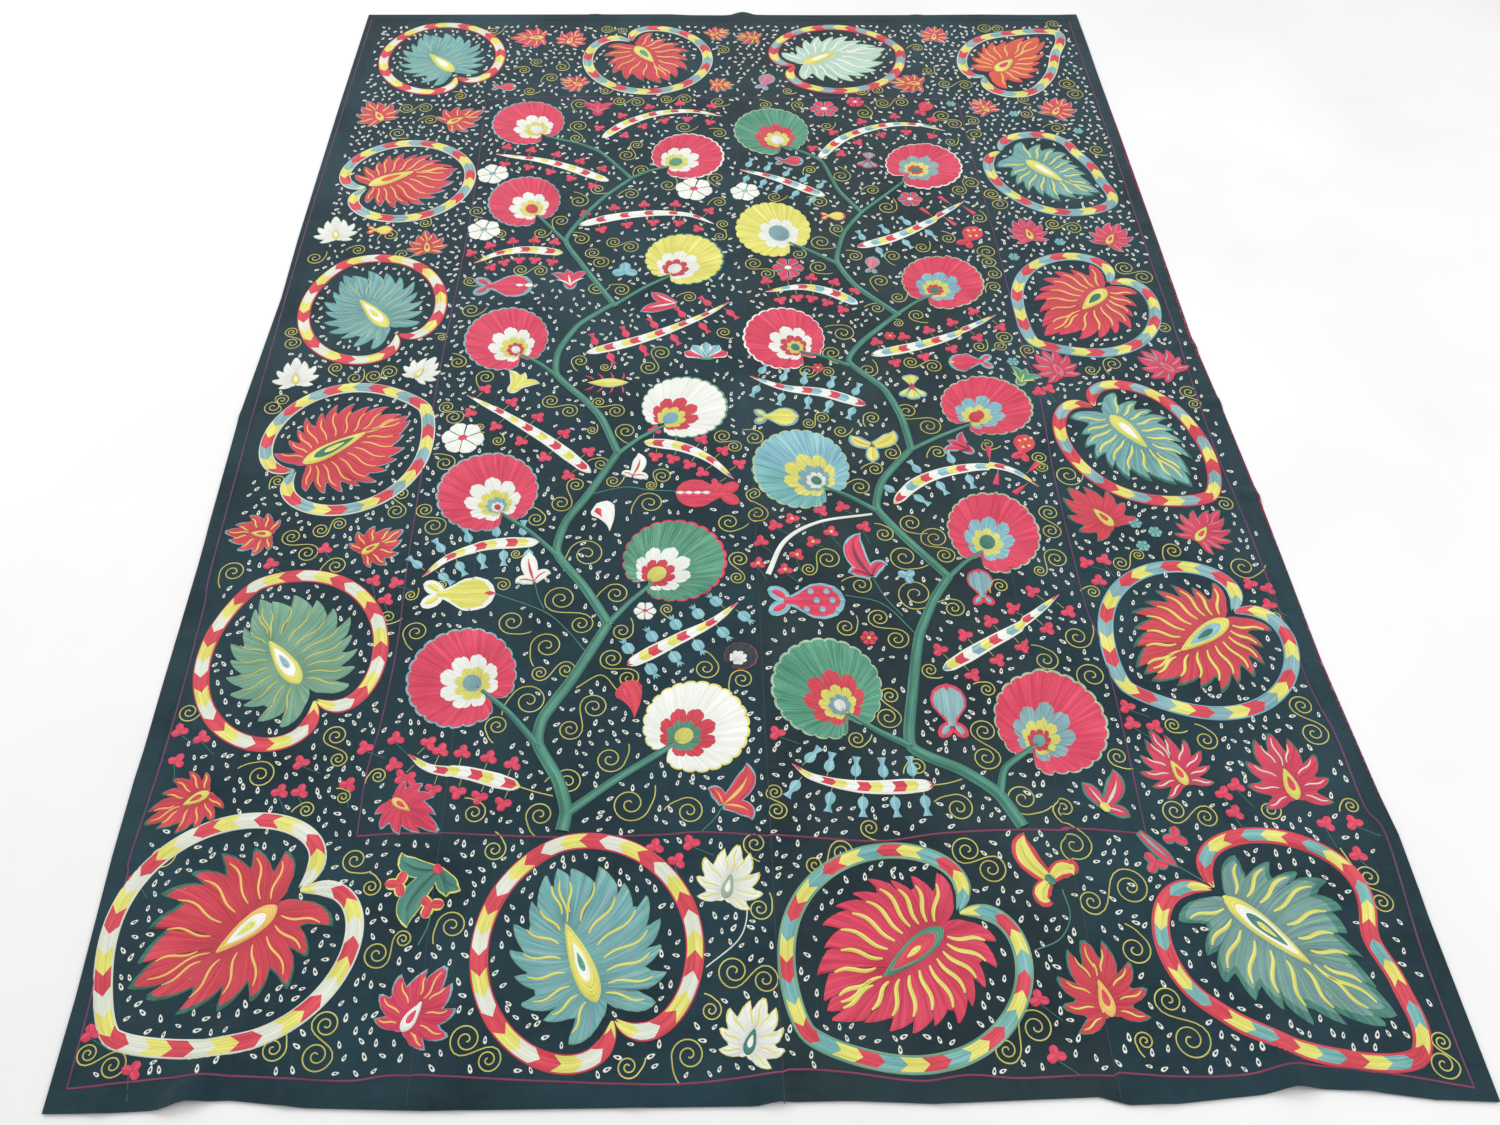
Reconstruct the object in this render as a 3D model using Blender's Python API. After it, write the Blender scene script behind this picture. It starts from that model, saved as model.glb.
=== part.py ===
"""Suzani cloth laid out flat: four loom strips sewn edge to edge, hemmed, over a printed lining.

Metres, +Z up. The origin is on the floor under the middle of the cloth. +X runs across the strips
and +Y along them, away from the viewer. The cloth is drawn first in flat cloth coordinates,
u across and v along, and lay() then carries a point to where the cloth really lies.
"""

import bisect
import math

import bmesh
import bpy

# Driving sizes of the cloth as it was cut and sewn
HALF_WIDTH = 0.825
HALF_LENGTH = 1.200
SEAMS = (-0.415, 0.015, 0.400)
GROUND_THICKNESS = 0.0015
LINING_THICKNESS = 0.0010
LAYER_GAP = 0.0003
SEAM_GAP = 0.0003
HEM_WIDTH = 0.022
HEM_SLOPE = 0.003
HEM_RISE = 0.0008
LINING_SETBACK = 0.0015

# The left side bows out a little more than the right, so the middle of the box is moved back by this
CENTRE_SHIFT = 0.003

# How far in from the edge a bow or a wave of the outline dies away
SIDE_REACH = 0.35
END_REACH = 0.12

# Left side: place along v, how far the edge bows outwards
LEFT_BOW = (
    (-1.200, 0.000),
    (-1.070, 0.001),
    (-0.890, 0.008),
    (-0.640, 0.011),
    (-0.370, 0.012),
    (-0.100, 0.017),
    (0.200, 0.006),
    (0.370, 0.008),
    (0.830, 0.005),
    (1.200, 0.000),
)
# Right side: place along v, how far the edge bows outwards
RIGHT_BOW = (
    (-1.200, 0.007),
    (-0.980, 0.007),
    (-0.870, 0.011),
    (-0.810, 0.006),
    (-0.600, -0.003),
    (-0.290, -0.003),
    (-0.070, -0.008),
    (0.090, -0.014),
    (0.360, -0.009),
    (0.710, -0.004),
    (1.200, 0.000),
)
# Near end: place along u, how far the hem is drawn in
FOOT_WAVE = (
    (-0.825, 0.000),
    (-0.759, 0.000),
    (-0.690, 0.003),
    (-0.668, 0.011),
    (-0.617, 0.013),
    (-0.530, 0.004),
    (-0.398, 0.000),
    (-0.240, 0.001),
    (-0.016, 0.002),
    (0.010, 0.006),
    (0.090, 0.007),
    (0.188, 0.003),
    (0.376, 0.009),
    (0.408, 0.000),
    (0.466, 0.001),
    (0.563, 0.010),
    (0.601, 0.017),
    (0.682, 0.013),
    (0.755, 0.003),
    (0.825, 0.000),
)
# Where the lining peeks out from under the hem: place along the side, width of the strip that shows
RIGHT_PEEK = (
    (-1.200, 0.000),
    (-0.950, 0.000),
    (-0.800, 0.003),
    (-0.600, 0.005),
    (-0.450, 0.002),
    (-0.300, 0.006),
    (-0.100, 0.003),
    (0.090, 0.007),
    (0.360, 0.004),
    (0.600, 0.007),
    (0.850, 0.003),
    (1.050, 0.000),
    (1.200, 0.000),
)
HEAD_PEEK = (
    (-0.825, 0.000),
    (-0.120, 0.000),
    (-0.080, 0.004),
    (0.000, 0.005),
    (0.040, 0.001),
    (0.100, 0.004),
    (0.400, 0.006),
    (0.600, 0.003),
    (0.750, 0.006),
    (0.825, 0.003),
)
LEFT_PEEK = (
    (-1.200, 0.000),
    (-0.780, 0.000),
    (-0.700, 0.0025),
    (-0.450, 0.002),
    (-0.340, 0.000),
    (1.200, 0.000),
)
# Ripples where the cloth stands off the floor: start at the edge, end inside, half width, height
RIPPLES = (
    ((-0.690, -1.230), (-0.598, -1.070), 0.030, 0.0090),
    ((0.616, -1.240), (0.576, -1.040), 0.036, 0.0100),
    ((0.008, -1.220), (0.014, -1.120), 0.024, 0.0045),
    ((0.053, 1.220), (0.033, 1.130), 0.032, 0.0060),
    ((0.833, 0.061), (0.755, 0.068), 0.018, 0.0030),
    ((0.838, -0.079), (0.758, -0.070), 0.018, 0.0035),
    ((0.848, -0.290), (0.762, -0.280), 0.020, 0.0040),
)
RIPPLE_HOLD = 0.35
RIPPLE_STEP = 0.008
CLOSEST_LINES = 0.0025
FLAT_ANGLE = 0.001

# Dyed cloth colours, linear RGB, and how rough the cloth looks
GROUND_COLOUR = (0.021, 0.042, 0.060, 1.0)
LINING_COLOUR = (0.160, 0.022, 0.060, 1.0)
CLOTH_ROUGHNESS = 0.9


def read_table(table, place):
    """Value of a two-column table at a place, by straight lines between its rows."""
    places = [row[0] for row in table]
    place = min(max(place, places[0]), places[-1])
    after = min(max(bisect.bisect_right(places, place), 1), len(table) - 1)
    (start, first), (end, second) = table[after - 1], table[after]
    return first + (second - first) * (place - start) / (end - start)


def ease(t):
    """Smooth step from 0 to 1."""
    t = min(max(t, 0.0), 1.0)
    return t * t * (3.0 - 2.0 * t)


def fade(distance, reach):
    """1 at an edge, falling smoothly to 0 at the reach."""
    return 1.0 - ease(distance / reach)


def setback_where_hidden(peek):
    """How far the lining stops short of the hem where none of it peeks out."""
    return LINING_SETBACK * max(0.0, 1.0 - peek / LINING_SETBACK)


def lay(u, v, layer):
    """Carry a flat cloth point of the layer "ground" or "lining" to where it lies on the floor."""
    peeks = {
        "left": read_table(LEFT_PEEK, v),
        "right": read_table(RIGHT_PEEK, v),
        "foot": 0.0,
        "head": read_table(HEAD_PEEK, u),
    }
    if layer == "ground":
        back = peeks
    else:
        back = {side: setback_where_hidden(peek) for side, peek in peeks.items()}
    from_left = fade(u + HALF_WIDTH, SIDE_REACH)
    from_right = fade(HALF_WIDTH - u, SIDE_REACH)
    from_foot = fade(v + HALF_LENGTH, END_REACH)
    from_head = fade(HALF_LENGTH - v, END_REACH)
    x = u + CENTRE_SHIFT
    x -= (read_table(LEFT_BOW, v) - back["left"]) * from_left
    x += (read_table(RIGHT_BOW, v) - back["right"]) * from_right
    y = v + (read_table(FOOT_WAVE, u) + back["foot"]) * from_foot - back["head"] * from_head
    return x, y


def rise(x, y):
    """Height of the cloth's underside over the floor, from the ripples."""
    height = 0.0
    for (start_x, start_y), (end_x, end_y), half_width, top in RIPPLES:
        length = math.hypot(end_x - start_x, end_y - start_y)
        along_x = (end_x - start_x) / length
        along_y = (end_y - start_y) / length
        along = ((x - start_x) * along_x + (y - start_y) * along_y) / length
        across = abs((x - start_x) * along_y - (y - start_y) * along_x) / half_width
        if across < 1.0 and along < 1.0:
            profile = (1.0 - across * across) ** 2
            height += top * profile * (1.0 - ease((along - RIPPLE_HOLD) / (1.0 - RIPPLE_HOLD)))
    return height


def stations(half, axis, tables, fixed):
    """Grid lines from side to side: the hem, the fixed lines, then table rows and ripple steps."""
    inside = half - HEM_WIDTH
    kept = [-half, half, inside, -inside, inside - HEM_SLOPE, HEM_SLOPE - inside, *fixed]
    wanted = [row[0] for table in tables for row in table]
    for start, end, half_width, _ in RIPPLES:
        first = math.floor((min(start[axis], end[axis]) - half_width) / RIPPLE_STEP)
        last = math.ceil((max(start[axis], end[axis]) + half_width) / RIPPLE_STEP)
        wanted += [count * RIPPLE_STEP for count in range(first, last + 1)]
    for line in sorted(wanted):
        if abs(line) < half and min(abs(line - other) for other in kept) > CLOSEST_LINES:
            kept.append(line)
    return sorted(kept)


def hem_rise(u, v):
    """Extra thickness of the folded hem at a flat cloth point."""
    inside = min(HALF_WIDTH - abs(u), HALF_LENGTH - abs(v))
    return HEM_RISE * (1.0 - ease((inside - HEM_WIDTH) / HEM_SLOPE))


def make_sheet(name, columns, rows, layer, bottom, thickness, material):
    """Closed sheet over a grid of flat cloth lines, on the ripples, with its hem."""
    mesh = bmesh.new()
    lower = {}
    upper = {}
    for i, u in enumerate(columns):
        for j, v in enumerate(rows):
            x, y = lay(u, v, layer)
            under = rise(x, y) + bottom
            top = under + thickness + (hem_rise(u, v) if layer == "ground" else 0.0)
            lower[i, j] = mesh.verts.new((x, y, under))
            upper[i, j] = mesh.verts.new((x, y, top))
    last_i = len(columns) - 1
    last_j = len(rows) - 1
    for i in range(last_i):
        for j in range(last_j):
            near, right, far, left = (i, j), (i + 1, j), (i + 1, j + 1), (i, j + 1)
            for ring in ((near, right, far), (near, far, left)):
                mesh.faces.new([upper[corner] for corner in ring])
                mesh.faces.new([lower[corner] for corner in reversed(ring)])
    rim = [(i, 0) for i in range(last_i)] + [(last_i, j) for j in range(last_j)]
    rim += [(i, last_j) for i in range(last_i, 0, -1)] + [(0, j) for j in range(last_j, 0, -1)]
    for here, following in zip(rim, rim[1:] + rim[:1]):
        mesh.faces.new((lower[here], lower[following], upper[following], upper[here]))
    bmesh.ops.recalc_face_normals(mesh, faces=mesh.faces)
    bmesh.ops.dissolve_limit(
        mesh, angle_limit=FLAT_ANGLE, use_dissolve_boundaries=False, verts=mesh.verts, edges=mesh.edges
    )
    data = bpy.data.meshes.new(name)
    mesh.to_mesh(data)
    mesh.free()
    data.materials.append(material)
    sheet = bpy.data.objects.new(name, data)
    bpy.context.scene.collection.objects.link(sheet)
    return sheet


def make_cloth(name, colour):
    """Matt dyed cloth."""
    material = bpy.data.materials.new(name)
    material.use_nodes = True
    shader = material.node_tree.nodes["Principled BSDF"]
    shader.inputs["Base Color"].default_value = colour
    shader.inputs["Roughness"].default_value = CLOTH_ROUGHNESS
    shader.inputs["Metallic"].default_value = 0.0
    return material


def make_lining(columns, rows):
    """Printed lining, the lowest layer, one piece under the whole cloth."""
    cloth = make_cloth("lining_cloth", LINING_COLOUR)
    make_sheet("lining", columns, rows, "lining", 0.0, LINING_THICKNESS, cloth)


def make_panels(columns, rows):
    """The four loom strips, side by side with a hair of a gap at each seam."""
    edges = (-HALF_WIDTH, *SEAMS, HALF_WIDTH)
    bottom = LINING_THICKNESS + LAYER_GAP
    for number, (left, right) in enumerate(zip(edges, edges[1:]), start=1):
        low = left + (SEAM_GAP / 2 if number > 1 else 0.0)
        high = right - (SEAM_GAP / 2 if number < len(edges) - 1 else 0.0)
        inner = [line for line in columns if low + SEAM_GAP < line < high - SEAM_GAP]
        cloth = make_cloth(f"ground_cloth_{number}", GROUND_COLOUR)
        name = f"panel_{number}"
        make_sheet(name, [low, *inner, high], rows, "ground", bottom, GROUND_THICKNESS, cloth)


def main():
    """Clear the scene, then build the lining and the strips on it."""
    for thing in list(bpy.data.objects):
        bpy.data.objects.remove(thing, do_unlink=True)
    columns = stations(HALF_WIDTH, 0, (FOOT_WAVE, HEAD_PEEK), SEAMS)
    rows = stations(HALF_LENGTH, 1, (LEFT_BOW, RIGHT_BOW, RIGHT_PEEK, LEFT_PEEK), ())
    make_lining(columns, rows)
    make_panels(columns, rows)


main()
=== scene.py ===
"""Suzani cloth, laid out flat: the look of its ground strips, its lining and all its embroidery.

Metres, +Z up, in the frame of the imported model. Every motif is drawn by a function of its own sizes.
The tables say where each motif lies, in pixels of the 1500 x 1125 picture, and PictureView carries
such a point to the cloth. Stitches are fine raised grids that follow the cloth's top.
"""

import logging
import math
from collections.abc import Callable
from dataclasses import dataclass, field
from enum import Enum

import bpy
import numpy as np
from mathutils import Matrix, Vector


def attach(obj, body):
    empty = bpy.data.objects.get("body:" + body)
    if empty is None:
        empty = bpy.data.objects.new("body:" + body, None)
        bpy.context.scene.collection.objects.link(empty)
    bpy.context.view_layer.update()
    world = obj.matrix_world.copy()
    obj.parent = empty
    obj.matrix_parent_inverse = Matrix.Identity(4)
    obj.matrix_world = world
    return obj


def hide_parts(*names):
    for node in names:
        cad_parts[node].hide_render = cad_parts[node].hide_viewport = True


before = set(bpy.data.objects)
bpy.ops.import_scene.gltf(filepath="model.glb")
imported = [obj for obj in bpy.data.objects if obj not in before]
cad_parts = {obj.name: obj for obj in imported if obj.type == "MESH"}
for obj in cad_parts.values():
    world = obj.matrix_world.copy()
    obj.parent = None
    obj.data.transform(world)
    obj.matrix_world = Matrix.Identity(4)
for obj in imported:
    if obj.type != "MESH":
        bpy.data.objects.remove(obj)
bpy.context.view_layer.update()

log = logging.getLogger("suzani")
Array = np.ndarray
Pixel = tuple[float, float]
Colour = tuple[float, float, float]
TURN = 2 * math.pi

# Sizes of the cloth, the same as the model's
HALF_WIDTH = 0.825
HALF_LENGTH = 1.200
SEAMS = (-0.415, 0.015, 0.400)
GROUND_THICKNESS = 0.0015
LINING_THICKNESS = 0.0010
LAYER_GAP = 0.0003
SEAM_GAP = 0.0003
HEM_WIDTH = 0.022
HEM_SLOPE = 0.003
HEM_RISE = 0.0008
LINING_SETBACK = 0.0015
CENTRE_SHIFT = 0.003
SIDE_REACH = 0.35
END_REACH = 0.12
CLOTH_TOP = LINING_THICKNESS + LAYER_GAP + GROUND_THICKNESS

# Left side: place along v, how far the edge bows outwards
LEFT_BOW = (
    (-1.200, 0.000), (-1.070, 0.001), (-0.890, 0.008), (-0.640, 0.011), (-0.370, 0.012),
    (-0.100, 0.017), (0.200, 0.006), (0.370, 0.008), (0.830, 0.005), (1.200, 0.000),
)
# Right side: place along v, how far the edge bows outwards
RIGHT_BOW = (
    (-1.200, 0.007), (-0.980, 0.007), (-0.870, 0.011), (-0.810, 0.006), (-0.600, -0.003),
    (-0.290, -0.003), (-0.070, -0.008), (0.090, -0.014), (0.360, -0.009), (0.710, -0.004),
    (1.200, 0.000),
)
# Near end: place along u, how far the hem is drawn in
FOOT_WAVE = (
    (-0.825, 0.000), (-0.759, 0.000), (-0.690, 0.003), (-0.668, 0.011), (-0.617, 0.013),
    (-0.530, 0.004), (-0.398, 0.000), (-0.240, 0.001), (-0.016, 0.002), (0.010, 0.006),
    (0.090, 0.007), (0.188, 0.003), (0.376, 0.009), (0.408, 0.000), (0.466, 0.001),
    (0.563, 0.010), (0.601, 0.017), (0.682, 0.013), (0.755, 0.003), (0.825, 0.000),
)
# Where the lining peeks out from under the hem: place along the side, width of what shows
RIGHT_PEEK = (
    (-1.200, 0.000), (-0.950, 0.000), (-0.800, 0.003), (-0.600, 0.005), (-0.450, 0.002),
    (-0.300, 0.006), (-0.100, 0.003), (0.090, 0.007), (0.360, 0.004), (0.600, 0.007),
    (0.850, 0.003), (1.050, 0.000), (1.200, 0.000),
)
HEAD_PEEK = (
    (-0.825, 0.000), (-0.120, 0.000), (-0.080, 0.004), (0.000, 0.005), (0.040, 0.001),
    (0.100, 0.004), (0.400, 0.006), (0.600, 0.003), (0.750, 0.006), (0.825, 0.003),
)
LEFT_PEEK = (
    (-1.200, 0.000), (-0.780, 0.000), (-0.700, 0.0025), (-0.450, 0.002), (-0.340, 0.000),
    (1.200, 0.000),
)
# Ripples where the cloth stands off the floor: start at the edge, end inside, half width, height
RIPPLES = (
    ((-0.690, -1.230), (-0.598, -1.070), 0.030, 0.0090),
    ((0.616, -1.240), (0.576, -1.040), 0.036, 0.0100),
    ((0.008, -1.220), (0.014, -1.120), 0.024, 0.0045),
    ((0.053, 1.220), (0.033, 1.130), 0.032, 0.0060),
    ((0.833, 0.061), (0.755, 0.068), 0.018, 0.0030),
    ((0.838, -0.079), (0.758, -0.070), 0.018, 0.0035),
    ((0.848, -0.290), (0.762, -0.280), 0.020, 0.0040),
)
RIPPLE_HOLD = 0.35
# Soft creases of the strips alone: start at the edge, end inside, half width, height
CREASES = (
    ((-0.770, -1.225), (-0.735, -1.120), 0.018, 0.0018),
    ((-0.560, -1.225), (-0.520, -1.090), 0.020, 0.0020),
    ((-0.360, -1.225), (-0.345, -1.130), 0.020, 0.0014),
    ((-0.150, -1.225), (-0.165, -1.120), 0.024, 0.0016),
    ((0.200, -1.225), (0.215, -1.110), 0.020, 0.0016),
    ((0.455, -1.225), (0.430, -1.120), 0.018, 0.0014),
    ((0.700, -1.225), (0.660, -1.090), 0.022, 0.0020),
    ((-0.845, -0.560), (-0.740, -0.530), 0.020, 0.0014),
    ((-0.845, -0.100), (-0.760, -0.130), 0.020, 0.0014),
    ((0.845, -0.620), (0.750, -0.600), 0.020, 0.0014),
    ((0.840, 0.420), (0.760, 0.400), 0.018, 0.0012),
    ((-0.300, 1.225), (-0.280, 1.130), 0.020, 0.0012),
    ((0.450, 1.225), (0.460, 1.120), 0.022, 0.0014),
)
# Soft puckers along the seams: seam place, pitch along it, phase
PUCKERS = ((-0.415, 0.087, 0.4), (0.015, 0.103, 1.9), (0.400, 0.094, 3.1))
PUCKER_HEIGHT = 0.0005
PUCKER_REACH = 0.045
# How far the two sides of a seam slipped along it when the strips were sewn together again
SEAM_SLIPS = (0.0015, 0.0025, 0.0045)
SLIP_REACH = 0.05
CLOTH_STEP = 0.010
FINE_STEP = 0.005
LEAST_STEP = 0.0015


class Layer(Enum):
    """The two layers of the cloth."""

    GROUND = "ground"
    LINING = "lining"


class Thread(Enum):
    """The embroidery threads by colour."""

    CRIMSON = 0
    RED = 1
    YELLOW = 2
    WHITE = 3
    GREEN = 4
    DARK_GREEN = 5
    SKY = 6
    TEAL = 7
    GREY_BLUE = 8
    OLIVE = 9
    WINE = 10
    ORANGE = 11
    PINK = 12
    PALE = 13
    NAVY = 14
    SAGE = 15
    SEA = 16
    PINE = 17
    AMBER = 18
    MINT = 19
    PLUM = 20
    SLATE = 21


(CRIMSON, RED, YELLOW, WHITE, GREEN, DARK_GREEN, SKY, TEAL, GREY_BLUE, OLIVE, WINE, ORANGE, PINK,
 PALE, NAVY, SAGE, SEA, PINE, AMBER, MINT, PLUM, SLATE) = tuple(Thread)


def smooth_step(t: Array) -> Array:
    """Smooth step from 0 to 1."""
    t = np.clip(t, 0.0, 1.0)
    return t * t * (3.0 - 2.0 * t)


def read_table(table: tuple, place: Array) -> Array:
    """Read a two-column table by straight lines between its rows.

    Args:
        table: Rows of place and value, in rising order of place.
        place: Where to read it.

    Returns:
        The value at each place.
    """
    rows = np.array(table)
    return np.interp(place, rows[:, 0], rows[:, 1])


def linear(red: float, green: float, blue: float) -> tuple[float, float, float, float]:
    """Turn a screen colour of 0 to 255 into the linear one that a shader takes.

    Args:
        red: Its red, 0 to 255.
        green: Its green.
        blue: Its blue.

    Returns:
        Red, green, blue and 1.
    """
    share = np.array((red, green, blue)) / 255.0
    light = np.where(share < 0.04045, share / 12.92, ((share + 0.055) / 1.055) ** 2.4)
    return (*(float(value) for value in light), 1.0)


def turn_left(vectors: Array) -> Array:
    """Turn flat vectors by a quarter turn to the left."""
    return np.stack([-vectors[..., 1], vectors[..., 0]], axis=-1)


def smooth_path(corners: Array, step: float, slack: float = 0.5) -> Array:
    """Run a smooth curve through a few points and divide it evenly.

    Args:
        corners: The points (n, 2) that the curve passes.
        step: Wanted distance between the points returned.
        slack: How widely it swings at its points, 0 for straight runs.

    Returns:
        Points (m, 2) along the curve.
    """
    ends = np.vstack([2 * corners[0] - corners[1], corners, 2 * corners[-1] - corners[-2]])
    t = np.linspace(0.0, 1.0, 12, endpoint=False)[:, None]
    pieces = []
    for before, start, end, after in zip(ends, ends[1:], ends[2:], ends[3:]):
        leave, arrive = slack * (end - before), slack * (after - start)
        bow = 3 * (end - start) - 2 * leave - arrive
        swing = 2 * (start - end) + leave + arrive
        pieces.append(start + leave * t + bow * t**2 + swing * t**3)
    return even_points(np.vstack([*pieces, corners[-1:]]), step)


def even_points(points: Array, step: float) -> Array:
    """Divide a line of points evenly by its length.

    Args:
        points: The line (n, 2).
        step: Wanted distance between the points.

    Returns:
        Points (m, 2) on it.
    """
    along = lengths_of(points)
    count = max(2, round(along[-1] / step) + 1)
    wanted = np.linspace(0.0, along[-1], count)
    return points_at(wanted, along, points)


def points_at(places: Array, along: Array, line: Array) -> Array:
    """Points of a line (n, 2) at places along it."""
    return np.stack([np.interp(places, along, line[:, axis]) for axis in (0, 1)], axis=-1)


def grid_cells(index: Array) -> Array:
    """Corner numbers of the cells in a grid of point numbers."""
    corners = [index[:-1, :-1], index[1:, :-1], index[1:, 1:], index[:-1, 1:]]
    return np.stack(corners, axis=-1).reshape(-1, 4)


def add_object(name: str, data: bpy.types.ID) -> bpy.types.Object:
    """Make an object of some data and link it to the scene.

    Args:
        name: Name of the object.
        data: Its mesh, lamp or camera.

    Returns:
        The object.
    """
    made = bpy.data.objects.new(name, data)
    bpy.context.scene.collection.objects.link(made)
    return made


def normals_of(points: Array) -> Array:
    """Unit normals, to the left of the way along a line of points."""
    way = np.gradient(points, axis=0)
    return turn_left(way / np.maximum(np.linalg.norm(way, axis=1, keepdims=True), 1e-9))


def lengths_of(points: Array) -> Array:
    """Distance along a line of points at each of them."""
    return np.concatenate([[0.0], np.cumsum(np.linalg.norm(np.diff(points, axis=0), axis=1))])


@dataclass(frozen=True)
class PictureView:
    """The picture's camera, and the way from a picture point to the cloth."""

    place: tuple[float, float, float] = (-0.0915, -1.5615, 1.4832)
    pitch: float = 52.272
    yaw: float = 0.7189
    roll: float = 0.291
    focal_pixels: float = 1226.28
    axis_pixel: Pixel = (694.83, 562.5)
    width_pixels: float = 1500.0
    sensor: float = 36.0

    def axes(self) -> Array:
        """Work out the camera's right, up and back vectors, as columns.

        Returns:
            The three vectors (3, 3).
        """
        pitch, yaw, roll = np.radians([self.pitch, self.yaw, self.roll])
        ahead = np.array([np.sin(yaw) * np.cos(pitch), np.cos(yaw) * np.cos(pitch), -np.sin(pitch)])
        right = np.array([np.cos(yaw), -np.sin(yaw), 0.0])
        up = np.cross(right, ahead)
        turn, lean = np.cos(roll), np.sin(roll)
        return np.stack([turn * right + lean * up, turn * up - lean * right, -ahead], axis=1)

    def on_cloth(self, pixels: Array) -> Array:
        """Carry picture points to the plane of the cloth's top.

        Args:
            pixels: One point or rows of points, in pixels.

        Returns:
            The same points in metres, x and y.
        """
        pixels = np.atleast_2d(np.array(pixels, dtype=float))
        across = (pixels[:, 0] - self.axis_pixel[0]) / self.focal_pixels
        down = (pixels[:, 1] - self.axis_pixel[1]) / self.focal_pixels
        rays = np.stack([across, -down, -np.ones(len(pixels))], axis=1) @ self.axes().T
        reach = (CLOTH_TOP - self.place[2]) / rays[:, 2]
        return np.array(self.place[:2]) + rays[:, :2] * reach[:, None]

    def spot(self, pixel: Pixel) -> Array:
        """Carry one picture point to the cloth."""
        return self.on_cloth(pixel)[0]

    def box(self, left: float, right: float, top: float, bottom: float) -> tuple[Array, Array]:
        """Carry a picture box to the cloth: its middle and its half sizes, in metres.

        Args:
            left: Its left side.
            right: Its right side.
            top: Its upper side.
            bottom: Its lower side.

        Returns:
            Its middle and its half sizes, in metres.
        """
        middle = ((left + right) / 2, (top + bottom) / 2)
        sides = self.on_cloth([(left, middle[1]), (right, middle[1])])
        ends = self.on_cloth([(middle[0], bottom), (middle[0], top)])
        centre = np.array([sides[:, 0].mean(), ends[:, 1].mean()])
        return centre, np.array([np.ptp(sides[:, 0]), np.ptp(ends[:, 1])]) / 2

    def make_camera(self) -> bpy.types.Object:
        """Make the camera at the picture's viewing angle.

        Returns:
            The camera.
        """
        data = bpy.data.cameras.new("camera")
        data.sensor_width = self.sensor
        data.lens = self.focal_pixels / self.width_pixels * self.sensor
        data.shift_x = (self.width_pixels / 2 - self.axis_pixel[0]) / self.width_pixels
        camera = add_object("camera", data)
        axes = Matrix(self.axes().tolist()).to_4x4()
        camera.matrix_world = Matrix.Translation(Vector(self.place)) @ axes
        bpy.context.scene.camera = camera
        return camera


VIEW = PictureView()


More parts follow.
